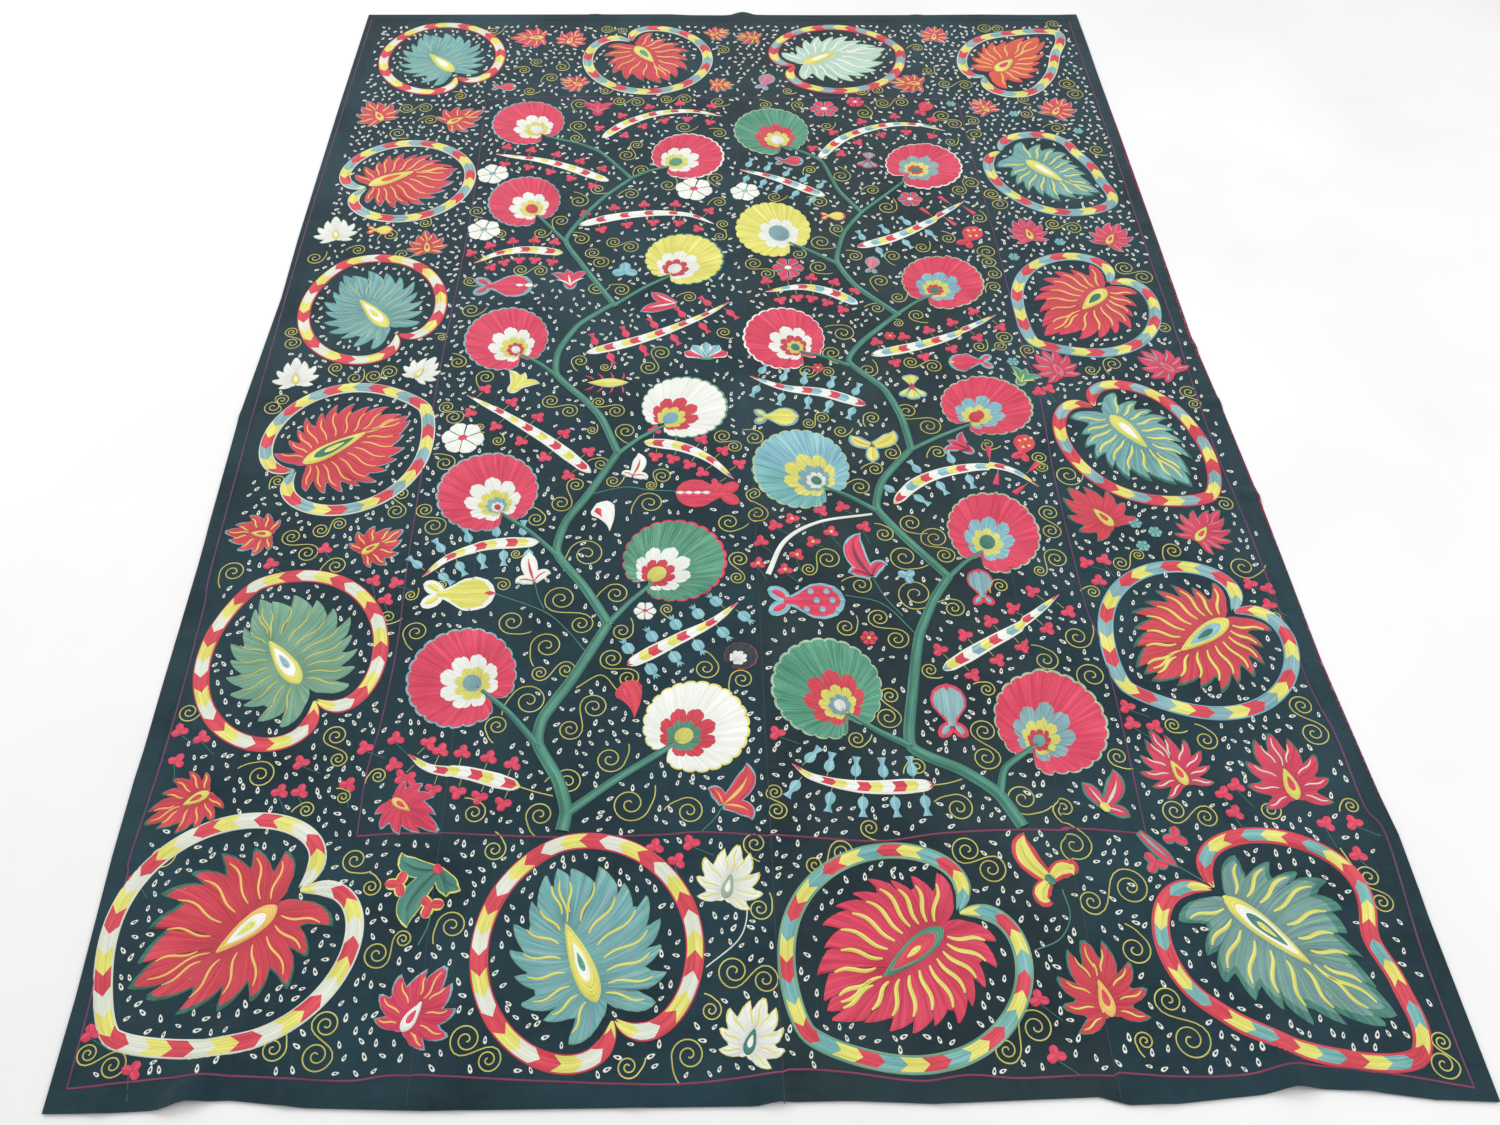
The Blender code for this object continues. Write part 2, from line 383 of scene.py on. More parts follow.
@dataclass(frozen=True)
class ClothLay:
    """How the cloth lies: its outline, its ripples and its hem, as in the model."""

    def lay(self, u: Array, v: Array, layer: Layer) -> tuple[Array, Array]:
        """Carry flat cloth points to where they lie.

        Args:
            u: Place across the cloth.
            v: Place along the cloth.
            layer: Which layer the points belong to.

        Returns:
            Their x and y.
        """
        left, right = read_table(LEFT_PEEK, v), read_table(RIGHT_PEEK, v)
        foot, head = np.zeros_like(u), read_table(HEAD_PEEK, u)
        if layer is Layer.LINING:
            left, right, foot, head = (
                np.maximum(LINING_SETBACK - peek, 0.0) for peek in (left, right, foot, head)
            )
        x = u + CENTRE_SHIFT
        x = x - (read_table(LEFT_BOW, v) - left) * (1 - smooth_step((u + HALF_WIDTH) / SIDE_REACH))
        x = x + (read_table(RIGHT_BOW, v) - right) * (1 - smooth_step((HALF_WIDTH - u) / SIDE_REACH))
        y = v + (read_table(FOOT_WAVE, u) + foot) * (1 - smooth_step((v + HALF_LENGTH) / END_REACH))
        y = y - head * (1 - smooth_step((HALF_LENGTH - v) / END_REACH))
        return x, y

    def ridges(self, x: Array, y: Array, table: tuple) -> Array:
        """Height of the soft ridges of a table.

        Args:
            x: Where to work it out.
            y: Where to work it out.
            table: Rows of start, end, half width and height.

        Returns:
            The height at each place.
        """
        height = np.zeros_like(x)
        for start, end, half_width, top in table:
            way = np.subtract(end, start)
            length = np.hypot(*way)
            way = way / length
            along = ((x - start[0]) * way[0] + (y - start[1]) * way[1]) / length
            across = np.abs((x - start[0]) * way[1] - (y - start[1]) * way[0]) / half_width
            profile = np.where(across < 1.0, (1.0 - across**2) ** 2, 0.0)
            height += top * profile * (1.0 - smooth_step((along - RIPPLE_HOLD) / (1.0 - RIPPLE_HOLD)))
        return height

    def rise(self, x: Array, y: Array) -> Array:
        """Height of the lining's underside over the floor."""
        return self.ridges(x, y, RIPPLES)

    def puckers(self, x: Array, y: Array) -> Array:
        """Creases and soft gathers at the seams, which lift the strips but not the lining.

        Args:
            x: Where to work it out.
            y: Where to work it out.

        Returns:
            The height at each place.
        """
        height = self.ridges(x, y, CREASES)
        for seam, pitch, phase in PUCKERS:
            near = np.exp(-(((x - seam - CENTRE_SHIFT) / PUCKER_REACH) ** 2))
            wave = 0.5 + 0.5 * np.sin(TURN * y / pitch + phase + 1.5 * np.sin(3.1 * y + phase))
            height += PUCKER_HEIGHT * near * wave
        return height

    def hem(self, u: Array, v: Array) -> Array:
        """Extra thickness of the folded hem at flat cloth points."""
        inside = np.minimum(HALF_WIDTH - np.abs(u), HALF_LENGTH - np.abs(v))
        return HEM_RISE * (1.0 - smooth_step((inside - HEM_WIDTH) / HEM_SLOPE))

    def unlay(self, x: Array, y: Array) -> tuple[Array, Array]:
        """Find the flat cloth points of places on the ground, closer with each of three rounds.

        Args:
            x: Places on the ground.
            y: Places on the ground.

        Returns:
            Their u and v.
        """
        u, v = x - CENTRE_SHIFT, y
        for _ in range(3):
            at_x, at_y = self.lay(u, v, Layer.GROUND)
            u, v = u + x - at_x, v + y - at_y
        return u, v

    def top(self, x: Array, y: Array) -> Array:
        """Height of the strips' upper face, with the hem."""
        return self.rise(x, y) + self.puckers(x, y) + CLOTH_TOP + self.hem(*self.unlay(x, y))

    def slip(self, points: Array) -> Array:
        """Move points a little along each seam, one way on its left and the other on its right.

        Args:
            points: Flat places, x and y last.

        Returns:
            The moved places.
        """
        moved = points.copy()
        for seam, amount in zip(SEAMS, SEAM_SLIPS):
            away = points[..., 0] - seam - CENTRE_SHIFT
            moved[..., 1] += amount / 2 * np.sign(away) * np.exp(-np.abs(away) / SLIP_REACH)
        return moved


CLOTH = ClothLay()


class Wiring:
    """Adds nodes to a material and links them."""

    def __init__(self, name: str) -> None:
        """Start a material with its main shader.

        Args:
            name: Name of the material.
        """
        self.material = bpy.data.materials.new(name)
        self.material.use_nodes = True
        self.tree = self.material.node_tree
        self.shader = self.tree.nodes["Principled BSDF"]

    def put(self, value: object, socket: bpy.types.NodeSocket) -> None:
        """Link an output to a socket, or set the socket to a plain value.

        Args:
            value: The output or the plain value.
            socket: Where it goes.
        """
        if isinstance(value, bpy.types.NodeSocket):
            self.tree.links.new(value, socket)
        else:
            socket.default_value = value

    def node(self, kind: str, inputs: dict | None = None, output: object = 0,
             **settings: object) -> bpy.types.NodeSocket:
        """Add a node.

        Args:
            kind: Type of the node.
            inputs: What goes into its sockets, by their name or number.
            output: Name or number of the output that is wanted.
            settings: Its own properties.

        Returns:
            The output.
        """
        made = self.tree.nodes.new(kind)
        for name, value in settings.items():
            setattr(made, name, value)
        for socket, value in (inputs or {}).items():
            self.put(value, made.inputs[socket])
        return made.outputs[output]

    def math(self, operation: str, *values: object) -> bpy.types.NodeSocket:
        """Reckon with one, two or three values."""
        return self.node("ShaderNodeMath", dict(enumerate(values)), operation=operation)

    def noise(self, vector: object, scale: float, detail: float = 2.0) -> bpy.types.NodeSocket:
        """Add smooth noise of 0 to 1."""
        return self.node("ShaderNodeTexNoise", {"Vector": vector, "Scale": scale, "Detail": detail}, "Fac")

    def spread(self, value: object, low: float, high: float) -> bpy.types.NodeSocket:
        """Stretch a value so that low gives 0 and high gives 1."""
        return self.node("ShaderNodeMapRange", {"Value": value, "From Min": low, "From Max": high}, "Result")

    def blend(self, share: object, first: object, second: object) -> bpy.types.NodeSocket:
        """Blend two colours."""
        return self.node("ShaderNodeMix", {0: share, 6: first, 7: second}, 2, data_type="RGBA")

    def vector(self, x: object, y: object) -> bpy.types.NodeSocket:
        """Put two numbers together, with 0 as the third."""
        return self.node("ShaderNodeCombineXYZ", {0: x, 1: y})

    def split(self, vector: object) -> tuple[bpy.types.NodeSocket, ...]:
        """Take a vector apart."""
        return tuple(self.node("ShaderNodeSeparateXYZ", {0: vector}).node.outputs)

    def place(self) -> bpy.types.NodeSocket:
        """Place on the piece, in metres."""
        return self.node("ShaderNodeTexCoord", output="Object")

    def bump(self, height: object, distance: float, strength: float) -> None:
        """Raise the surface by a height of 0 to 1 times a distance."""
        inputs = {"Strength": strength, "Distance": distance, "Height": height}
        self.put(self.node("ShaderNodeBump", inputs, "Normal"), self.shader.inputs["Normal"])

    def finish(self, colour: bpy.types.NodeSocket, roughness: float, **settings: float) -> None:
        """Set the shader's colour, roughness and other inputs, whose spaces are written as _.

        Args:
            colour: Colour of the surface.
            roughness: Its roughness.
            settings: Values of other inputs.
        """
        self.put(colour, self.shader.inputs["Base Color"])
        for name, value in {"Roughness": roughness, **settings}.items():
            self.put(value, self.shader.inputs[name.replace("_", " ")])


@dataclass(frozen=True)
class ThreadFinish:
    """Silk thread in chain stitch: rows side by side, streaks along them that are partly painted sheen,
    painted shade in the dips between rows, and a soft sheen.
    """

    name: str
    deep: Colour
    light: Colour
    row: float = 0.0014
    stitch: float = 0.0034
    roughness: float = 0.55
    sheen: float = 0.25

    def material(self) -> bpy.types.Material:
        """Build the thread's material.

        Returns:
            The material.
        """
        wires = Wiring(self.name)
        along, across, _ = wires.split(wires.node("ShaderNodeUVMap", uv_map="rows"))
        place = wires.place()
        rows = wires.math("DIVIDE", across, self.row)
        # Streaks along the rows: tone that differs along the floss, together with the silk's sheen painted in
        # as lighter and darker streaks
        streak = wires.noise(wires.vector(wires.math("MULTIPLY", along, 22.0), rows), 0.75, 2.0)
        broad = wires.noise(wires.vector(wires.math("MULTIPLY", along, 9.0), rows), 0.2, 1.0)
        patch = wires.noise(place, 16.0, 2.0)
        tone = wires.math("MULTIPLY_ADD", streak, 0.5, wires.math("MULTIPLY", broad, 0.35))
        tone = wires.math("MULTIPLY_ADD", patch, 0.25, tone)
        share = wires.spread(tone, 0.39, 0.71)
        # Rows dip between each other, and each stitch of the chain swells; the colour is painted darker in
        # these dips, as painted shade
        ridge = wires.math("ABSOLUTE", wires.math("SINE", wires.math("MULTIPLY", rows, math.pi)))
        shift = wires.math("MULTIPLY", wires.math("FLOOR", rows), 0.37)
        beads = wires.math("ADD", wires.math("DIVIDE", along, self.stitch), shift)
        bead = wires.math("ABSOLUTE", wires.math("SINE", wires.math("MULTIPLY", beads, math.pi)))
        height = wires.math("MULTIPLY_ADD", ridge, 0.7, wires.math("MULTIPLY", bead, 0.3))
        # Painted shade: the thread colour darkens towards its deep tone in the dips between rows and stitches
        shade = wires.math("MULTIPLY_ADD", wires.math("SUBTRACT", height, 0.7), 0.7, share)
        colour = wires.blend(shade, linear(*self.deep), linear(*self.light))
        wires.finish(colour, self.roughness, Sheen_Weight=self.sheen, Sheen_Roughness=0.4)
        wires.bump(height, 0.0004, 0.8)
        return wires.material


# Deep and light tone of each thread: the blend between them carries tone that differs in the floss, painted
# sheen in the streaks and painted shade in the dips between rows
FINISHES = {
    CRIMSON: ThreadFinish("crimson_silk", (188, 22, 60), (242, 78, 110)),
    RED: ThreadFinish("red_silk", (184, 30, 52), (236, 78, 94)),
    YELLOW: ThreadFinish("yellow_silk", (202, 192, 66), (248, 244, 138)),
    WHITE: ThreadFinish("white_silk", (222, 224, 210), (255, 255, 250)),
    GREEN: ThreadFinish("green_silk", (32, 98, 84), (88, 154, 136)),
    DARK_GREEN: ThreadFinish("dark_green_silk", (32, 110, 84), (108, 180, 146)),
    SKY: ThreadFinish("sky_silk", (84, 146, 168), (166, 216, 218)),
    TEAL: ThreadFinish("teal_silk", (66, 138, 142), (146, 202, 196)),
    GREY_BLUE: ThreadFinish("grey_blue_silk", (92, 138, 148), (162, 202, 202)),
    OLIVE: ThreadFinish("olive_silk", (180, 168, 62), (232, 226, 124)),
    WINE: ThreadFinish("wine_silk", (98, 28, 62), (150, 54, 92)),
    ORANGE: ThreadFinish("orange_silk", (206, 54, 38), (240, 104, 74)),
    PINK: ThreadFinish("pink_silk", (190, 88, 112), (230, 150, 164)),
    PALE: ThreadFinish("pale_silk", (202, 206, 188), (240, 242, 226)),
    NAVY: ThreadFinish("navy_cotton", (18, 30, 38), (40, 60, 70), sheen=0.0),
    SAGE: ThreadFinish("sage_silk", (128, 160, 128), (198, 216, 184)),
    SEA: ThreadFinish("sea_green_silk", (76, 132, 108), (150, 192, 160)),
    PINE: ThreadFinish("pine_green_silk", (26, 82, 68), (62, 130, 106)),
    AMBER: ThreadFinish("amber_silk", (222, 168, 74), (255, 220, 128)),
    MINT: ThreadFinish("mint_silk", (156, 198, 176), (220, 240, 220)),
    PLUM: ThreadFinish("plum_silk", (76, 34, 70), (116, 60, 102)),
    SLATE: ThreadFinish("slate_blue_silk", (78, 122, 130), (140, 180, 176)),
}


@dataclass(frozen=True)
class GroundFinish:
    """Dark dyed hand-woven cotton, blotchy, with its weave and a little fuzz."""

    name: str
    deep: Colour = (16, 36, 45)
    light: Colour = (35, 66, 76)
    worn: Colour = (54, 82, 92)
    pitch: float = 0.0011

    def material(self) -> bpy.types.Material:
        """Build the ground cloth's material.

        Returns:
            The material.
        """
        wires = Wiring(self.name)
        place = wires.place()
        x, y, _ = wires.split(place)
        blotch = wires.noise(place, 7.0, 4.0)
        fine = wires.noise(place, 60.0, 3.0)
        slub_across = wires.noise(wires.vector(wires.math("MULTIPLY", x, 18.0),
                                               wires.math("MULTIPLY", y, 420.0)), 1.0, 2.0)
        slub_along = wires.noise(wires.vector(wires.math("MULTIPLY", x, 420.0),
                                              wires.math("MULTIPLY", y, 18.0)), 1.0, 2.0)
        tone = wires.math("MULTIPLY_ADD", blotch, 0.55, wires.math("MULTIPLY", fine, 0.15))
        tone = wires.math("MULTIPLY_ADD", slub_across, 0.18, tone)
        tone = wires.math("MULTIPLY_ADD", slub_along, 0.12, tone)
        colour = wires.blend(wires.spread(tone, 0.34, 0.68), linear(*self.deep), linear(*self.light))
        wear = wires.spread(wires.noise(place, 3.1, 6.0), 0.52, 0.80)
        colour = wires.blend(wires.math("MULTIPLY", wear, 0.5), colour, linear(*self.worn))
        warp = wires.math("SINE", wires.math("MULTIPLY", x, TURN / self.pitch))
        weft = wires.math("SINE", wires.math("MULTIPLY", y, TURN / self.pitch))
        weave = wires.math("MULTIPLY", warp, weft)
        weave = wires.math("MULTIPLY_ADD", slub_across, 0.8, weave)
        wires.finish(colour, 0.88, Specular_IOR_Level=0.25, Sheen_Weight=0.12, Sheen_Roughness=0.5)
        wires.bump(weave, 0.00025, 0.6)
        return wires.material


@dataclass(frozen=True)
class LiningFinish:
    """Maroon cotton printed all over with small pink sprigs and dots."""

    name: str
    base: Colour = (104, 34, 60)
    print_colour: Colour = (176, 92, 124)
    spacing: float = 46.0

    def material(self) -> bpy.types.Material:
        """Build the lining's material.

        Returns:
            The material.
        """
        wires = Wiring(self.name)
        place = wires.place()
        cells = {"Vector": place, "Scale": self.spacing, "Randomness": 0.35}
        near = wires.node("ShaderNodeTexVoronoi", cells, "Distance")
        ring = wires.math("ABSOLUTE", wires.math("SUBTRACT", near, 0.30))
        flower = wires.math("LESS_THAN", near, 0.13)
        sprig = wires.math("MAXIMUM", flower, wires.math("LESS_THAN", ring, 0.035))
        fade = wires.spread(wires.noise(place, 30.0, 3.0), 0.3, 0.7)
        base = wires.blend(fade, linear(*self.base), linear(*(value * 1.25 for value in self.base)))
        colour = wires.blend(sprig, base, linear(*self.print_colour))
        wires.finish(colour, 0.85)
        x, y, _ = wires.split(place)
        weave = wires.math("MULTIPLY", wires.math("SINE", wires.math("MULTIPLY", x, 9000.0)),
                           wires.math("SINE", wires.math("MULTIPLY", y, 9000.0)))
        wires.bump(weave, 0.0002, 0.5)
        return wires.material


@dataclass
class Plan:
    """A fine plan of the cloth that remembers where stitches already are."""

    cell: float = 0.002
    taken: Array = field(init=False)

    def __post_init__(self) -> None:
        """Start with an empty plan, a little larger than the cloth."""
        self.low = np.array([-0.9, -1.26])
        self.shape = (int(1.8 / self.cell), int(2.52 / self.cell))
        self.taken = np.zeros(self.shape, dtype=bool)

    def cells(self, points: Array) -> tuple[Array, Array]:
        """Find the plan cells of flat points.

        Args:
            points: Places, x and y last.

        Returns:
            Numbers of their cells, across and along.
        """
        index = ((points.reshape(-1, 2) - self.low) / self.cell).astype(int)
        index = np.clip(index, 0, np.array(self.shape) - 1)
        return index[:, 0], index[:, 1]

    def mark(self, points: Array) -> None:
        """Mark points and the middles between them as taken.

        Args:
            points: Grid of places (n, m, 2).
        """
        self.taken[self.cells(points)] = True
        middles = (points[:-1, :-1] + points[1:, 1:] + points[:-1, 1:] + points[1:, :-1]) / 4
        self.taken[self.cells(middles)] = True

    def widened(self, reach: float) -> Array:
        """The plan with everything that is taken grown by a reach.

        Args:
            reach: How far it grows, in metres.

        Returns:
            The grown plan.
        """
        grown = self.taken.copy()
        for _ in range(max(1, round(reach / self.cell))):
            wider = grown.copy()
            wider[1:] |= grown[:-1]
            wider[:-1] |= grown[1:]
            wider[:, 1:] |= grown[:, :-1]
            wider[:, :-1] |= grown[:, 1:]
            grown = wider
        return grown


PLAN = Plan()


# Height of a stitch's rim, just under the cloth's top, and the columns of a thin row
EDGE_SINK = -0.0002
THIN_ROW = (-1.0, 0.0, 1.0)
# How strongly the bend of a lobe gathers at its tip, and the number of steps along it
LOBE_HOOK = 2.2
LOBE_STEPS = 20
# Steps along a bough or a stalk, and along a line that arrow blocks follow
ROW_STEP = 0.006
BLOCK_LINE_STEP = 0.001


class Stitchwork:
    """One object of embroidery, gathered from fine grids that lie on the cloth."""

    def __init__(self, name: str) -> None:
        """Start an empty piece of embroidery.

        Args:
            name: Name of the object.
        """
        self.name = name
        self.count = 0
        self.points: list[Array] = []
        self.heights: list[Array] = []
        self.rows: list[Array] = []
        self.faces: list[Array] = []
        self.threads: list[Array] = []

    def add_grid(self, points: Array, heights: Array, rows: Array, thread: object) -> None:
        """Add a grid of stitches.

        Args:
            points: Flat places (n, m, 2).
            heights: Height over the cloth, of a shape that spreads to (n, m).
            rows: Place along and across the rows of thread (n, m, 2), in metres.
            thread: One Thread, or thread numbers for every cell (n - 1, m - 1).
        """
        n, m = points.shape[:2]
        quads = grid_cells(np.arange(n * m).reshape(n, m) + self.count)
        ways = (points[1:, :-1] - points[:-1, :-1], points[:-1, 1:] - points[:-1, :-1])
        if np.sum(ways[0][..., 0] * ways[1][..., 1] - ways[0][..., 1] * ways[1][..., 0]) < 0:
            quads = quads[:, ::-1]
        numbers = thread.value if isinstance(thread, Thread) else thread
        self.points.append(points.reshape(-1, 2))
        self.heights.append(np.broadcast_to(heights, (n, m)).reshape(-1))
        self.rows.append(rows.reshape(-1, 2))
        self.faces.append(quads)
        self.threads.append(np.broadcast_to(numbers, (n - 1, m - 1)).reshape(-1).astype(int))
        self.count += n * m
        PLAN.mark(points)

    def add_ribbon(self, path: Array, half_width: object, thread: object, crown: float = 0.0008,
                   columns: tuple[float, ...] = (-1.0, -0.55, 0.0, 0.55, 1.0), lift: float = 0.0) -> None:
        """Add a ribbon of stitches along a line.

        Args:
            path: The middle line (n, 2).
            half_width: Half its width, one value or one for each point.
            thread: One Thread, or thread numbers for every cell.
            crown: Height of its middle over the cloth.
            columns: Places across it, as shares of its half width.
            lift: How far all of it is raised, where it lies on other stitches.
        """
        across = np.array(columns)
        half = np.broadcast_to(np.asarray(half_width, dtype=float), (len(path),))
        points = path[:, None] + normals_of(path)[:, None] * (across[None, :, None] * half[:, None, None])
        profile = crown * np.sqrt(np.clip(1.0 - np.abs(across) ** 2.6, 0.0, 1.0))
        heights = np.where(np.abs(across) > 0.99, EDGE_SINK, profile)[None, :] + lift
        rows = np.empty((len(path), len(across), 2))
        rows[..., 0] = lengths_of(path)[:, None]
        rows[..., 1] = across[None, :] * half[:, None]
        self.add_grid(points, np.broadcast_to(heights, points.shape[:2]), rows, thread)

    def add_petal(self, root: Array, angle: float, length: float, half_width: float,
                  outline: "Outline", fill: Thread, edge: Thread | None = None, bend: float = 0.0,
                  lift: float = 0.0, steps: int = 9, border: float = 0.0024, hook: float = 1.0) -> None:
        """Add a petal, bud, fish or any shape with a middle line and a half width along it.

        Args:
            root: Where its middle line starts.
            angle: Way that it points at its root, in radians.
            length: Length of its middle line.
            half_width: Half its greatest width.
            outline: The run of its half width.
            fill: Thread of its inside.
            edge: Thread of its border, if it has one.
            bend: How far its middle line turns from root to tip, in radians.
            lift: How far it is raised, where it lies on other stitches.
            steps: Number of steps along it.
            border: Width of its border.
            hook: 1 for an even bend, more for one that gathers at the tip.
        """
        share = 0.5 - 0.5 * np.cos(np.pi * np.linspace(0.0, 1.0, steps + 1))
        turn = angle + bend * share**hook
        way = np.stack([np.cos(turn), np.sin(turn)], axis=1)
        middle = (way[1:] + way[:-1]) / 2 * np.diff(share)[:, None] * length
        path = root + np.vstack([[0.0, 0.0], np.cumsum(middle, axis=0)])
        half = half_width * read_table(outline.value, share)
        if edge is None:
            self.add_ribbon(path, half, fill, 0.0009, (-1.0, -0.6, 0.6, 1.0), lift)
            return
        inner = max(0.45, 1.0 - border / half_width)
        cells = np.full((steps, 4), fill.value)
        cells[:, (0, 3)] = edge.value
        cells[(0, -1), :] = edge.value
        self.add_ribbon(path, half, cells, 0.0010, (-1.0, -inner, 0.0, inner, 1.0), lift)

    def add_lobes(self, lobes: list[tuple], fill: Thread, edge: Thread | None, border: float) -> None:
        """Add lobes that grow into one shape with a border round all of it.

        Args:
            lobes: Outline, root, angle, length, half width and bend of each lobe.
            fill: Thread of the inside.
            edge: Thread of the border, if it has one.
            border: Width of the border.
        """
        for outline, root, angle, length, half_width, bend in lobes if edge else ():
            self.add_petal(root, angle, length, half_width, outline, edge, bend=bend, steps=LOBE_STEPS,
                           hook=LOBE_HOOK)
        inset = border if edge else 0.0
        for number, (outline, root, angle, length, half_width, bend) in enumerate(lobes):
            start = root + np.array([math.cos(angle), math.sin(angle)]) * inset
            self.add_petal(start, angle, length - 2 * inset, half_width - inset, outline, fill, bend=bend,
                           lift=0.0005 + 0.0001 * number, steps=LOBE_STEPS, hook=LOBE_HOOK)

    def make(self, body: str = "root") -> bpy.types.Object:
        """Build the object and let it ride on a body.

        Args:
            body: Name of the body.

        Returns:
            The object.
        """
        flat = CLOTH.slip(np.concatenate(self.points))
        raised = CLOTH.top(flat[:, 0], flat[:, 1]) + np.concatenate(self.heights)
        faces = np.concatenate(self.faces)
        numbers = np.concatenate(self.threads)
        rows = np.concatenate(self.rows)
        mesh = bpy.data.meshes.new(self.name)
        mesh.vertices.add(len(flat))
        mesh.vertices.foreach_set("co", np.column_stack([flat, raised]).astype(np.float32).ravel())
        mesh.loops.add(faces.size)
        mesh.loops.foreach_set("vertex_index", faces.ravel().astype(np.int32))
        mesh.polygons.add(len(faces))
        mesh.polygons.foreach_set("loop_start", np.arange(0, faces.size, 4, dtype=np.int32))
        used, slots = np.unique(numbers, return_inverse=True)
        for number in used:
            mesh.materials.append(thread_material(Thread(int(number))))
        mesh.polygons.foreach_set("material_index", slots.astype(np.int32))
        mesh.polygons.foreach_set("use_smooth", np.ones(len(faces), dtype=bool))
        layer = mesh.uv_layers.new(name="rows")
        layer.uv.foreach_set("vector", rows[faces.ravel()].astype(np.float32).ravel())
        mesh.update(calc_edges=True)
        mesh.validate()
        piece = add_object(self.name, mesh)
        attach(piece, body)
        log.info("%s: %d faces", self.name, len(faces))
        return piece


def thread_material(thread: Thread) -> bpy.types.Material:
    """Find or build the material of a thread."""
    finish = FINISHES[thread]
    return bpy.data.materials.get(finish.name) or finish.material()


class Outline(Enum):
    """Half width of a small shape along its middle line: share of the length, share of the width."""

    ROUND = ((0.0, 0.0), (0.08, 0.55), (0.25, 0.88), (0.5, 1.0), (0.75, 0.88), (0.92, 0.55), (1.0, 0.0))
    SPINDLE = ((0.0, 0.0), (0.15, 0.5), (0.4, 1.0), (0.65, 0.8), (0.85, 0.35), (1.0, 0.0))
    DROP = ((0.0, 0.0), (0.2, 0.18), (0.5, 0.6), (0.75, 1.0), (0.92, 0.75), (1.0, 0.0))
    PITCHER = ((0.0, 0.0), (0.06, 0.5), (0.24, 1.0), (0.46, 0.9), (0.62, 0.36), (0.76, 0.40), (1.0, 0.85))
    FISH = ((0.0, 0.0), (0.04, 0.45), (0.14, 0.80), (0.32, 1.0), (0.52, 0.92), (0.70, 0.52), (0.84, 0.26),
            (1.0, 0.26))
    TUBE = ((0.0, 0.35), (0.3, 0.55), (0.7, 0.7), (0.85, 1.0), (1.0, 0.6))
    LOBE = ((0.0, 0.55), (0.2, 0.78), (0.45, 0.98), (0.62, 1.0), (0.78, 0.78), (0.9, 0.38), (1.0, 0.0))


@dataclass(frozen=True)
class HeartForm:
    """A round heart: an ellipse pressed in at its cleft and drawn out at its tip."""

    centre: Array
    half: Array
    cleft: Array
    tip: Array
    pins: tuple[Array, ...] = ()

    @staticmethod
    def gap(way: Array, other: float) -> Array:
        """Angle between a way and another one, from 0 to half a turn."""
        return np.abs((way - other + np.pi) % TURN - np.pi)

    def cleft_angle(self) -> float:
        """Way from the centre to the cleft, in radians."""
        return math.atan2(self.cleft[1] - self.centre[1], self.cleft[0] - self.centre[0])

    def ellipse(self, way: Array) -> Array:
        """Reach of the plain ellipse in a way from the centre."""
        return 1.0 / np.hypot(np.cos(way) / self.half[0], np.sin(way) / self.half[1])

    def plain_reach(self, way: Array) -> Array:
        """Reach of the heart in a way from the centre, before it is drawn to its pins.

        Args:
            way: Ways from the centre, in radians.

        Returns:
            Distance from the centre.
        """
        cleft_way = self.cleft_angle()
        tip_way = math.atan2(self.tip[1] - self.centre[1], self.tip[0] - self.centre[0])
        depth = 1.0 - np.hypot(*(self.cleft - self.centre)) / self.ellipse(np.array(cleft_way))
        point = np.hypot(*(self.tip - self.centre)) / self.ellipse(np.array(tip_way)) - 1.0
        pressed = 1.0 - max(depth, 0.18) * np.exp(-self.gap(way, cleft_way) / 0.20)
        drawn = 1.0 + np.clip(point, 0.0, 0.4) * np.exp(-((self.gap(way, tip_way) / 0.36) ** 1.4))
        return self.ellipse(way) * pressed * drawn

    def radius(self, turn: Array) -> Array:
        """Reach of the heart.

        Args:
            turn: Angle from the cleft, from 0 to a full turn.

        Returns:
            Distance from the centre.
        """
        reach = self.plain_reach(turn + self.cleft_angle())
        if not self.pins:
            return reach
        knots = [(0.0, 1.0), (TURN, 1.0), (self.turn_of(self.tip), 1.0)]
        for pin in self.pins:
            at = self.turn_of(pin)
            plain = float(self.plain_reach(np.array(at + self.cleft_angle())))
            knots.append((at, float(np.hypot(*(pin - self.centre))) / plain))
        curve = smooth_path(np.array(sorted(knots)), 0.05)
        return reach * np.interp(turn, curve[:, 0], curve[:, 1])

    def turn_of(self, place: Array) -> float:
        """Angle of a place from the cleft, seen from the centre, from 0 to a full turn."""
        away = place - self.centre
        return (math.atan2(away[1], away[0]) - self.cleft_angle()) % TURN

    def points(self, turn: Array, scale: object = 1.0) -> Array:
        """Flat points at angles from the cleft, scaled about the centre.

        Args:
            turn: Angles from the cleft.
            scale: Share of the reach.

        Returns:
            Places, x and y last.
        """
        way = turn + self.cleft_angle()
        reach = self.radius(turn) * scale
        return self.centre + np.stack([np.cos(way), np.sin(way)], axis=-1) * reach[..., None]


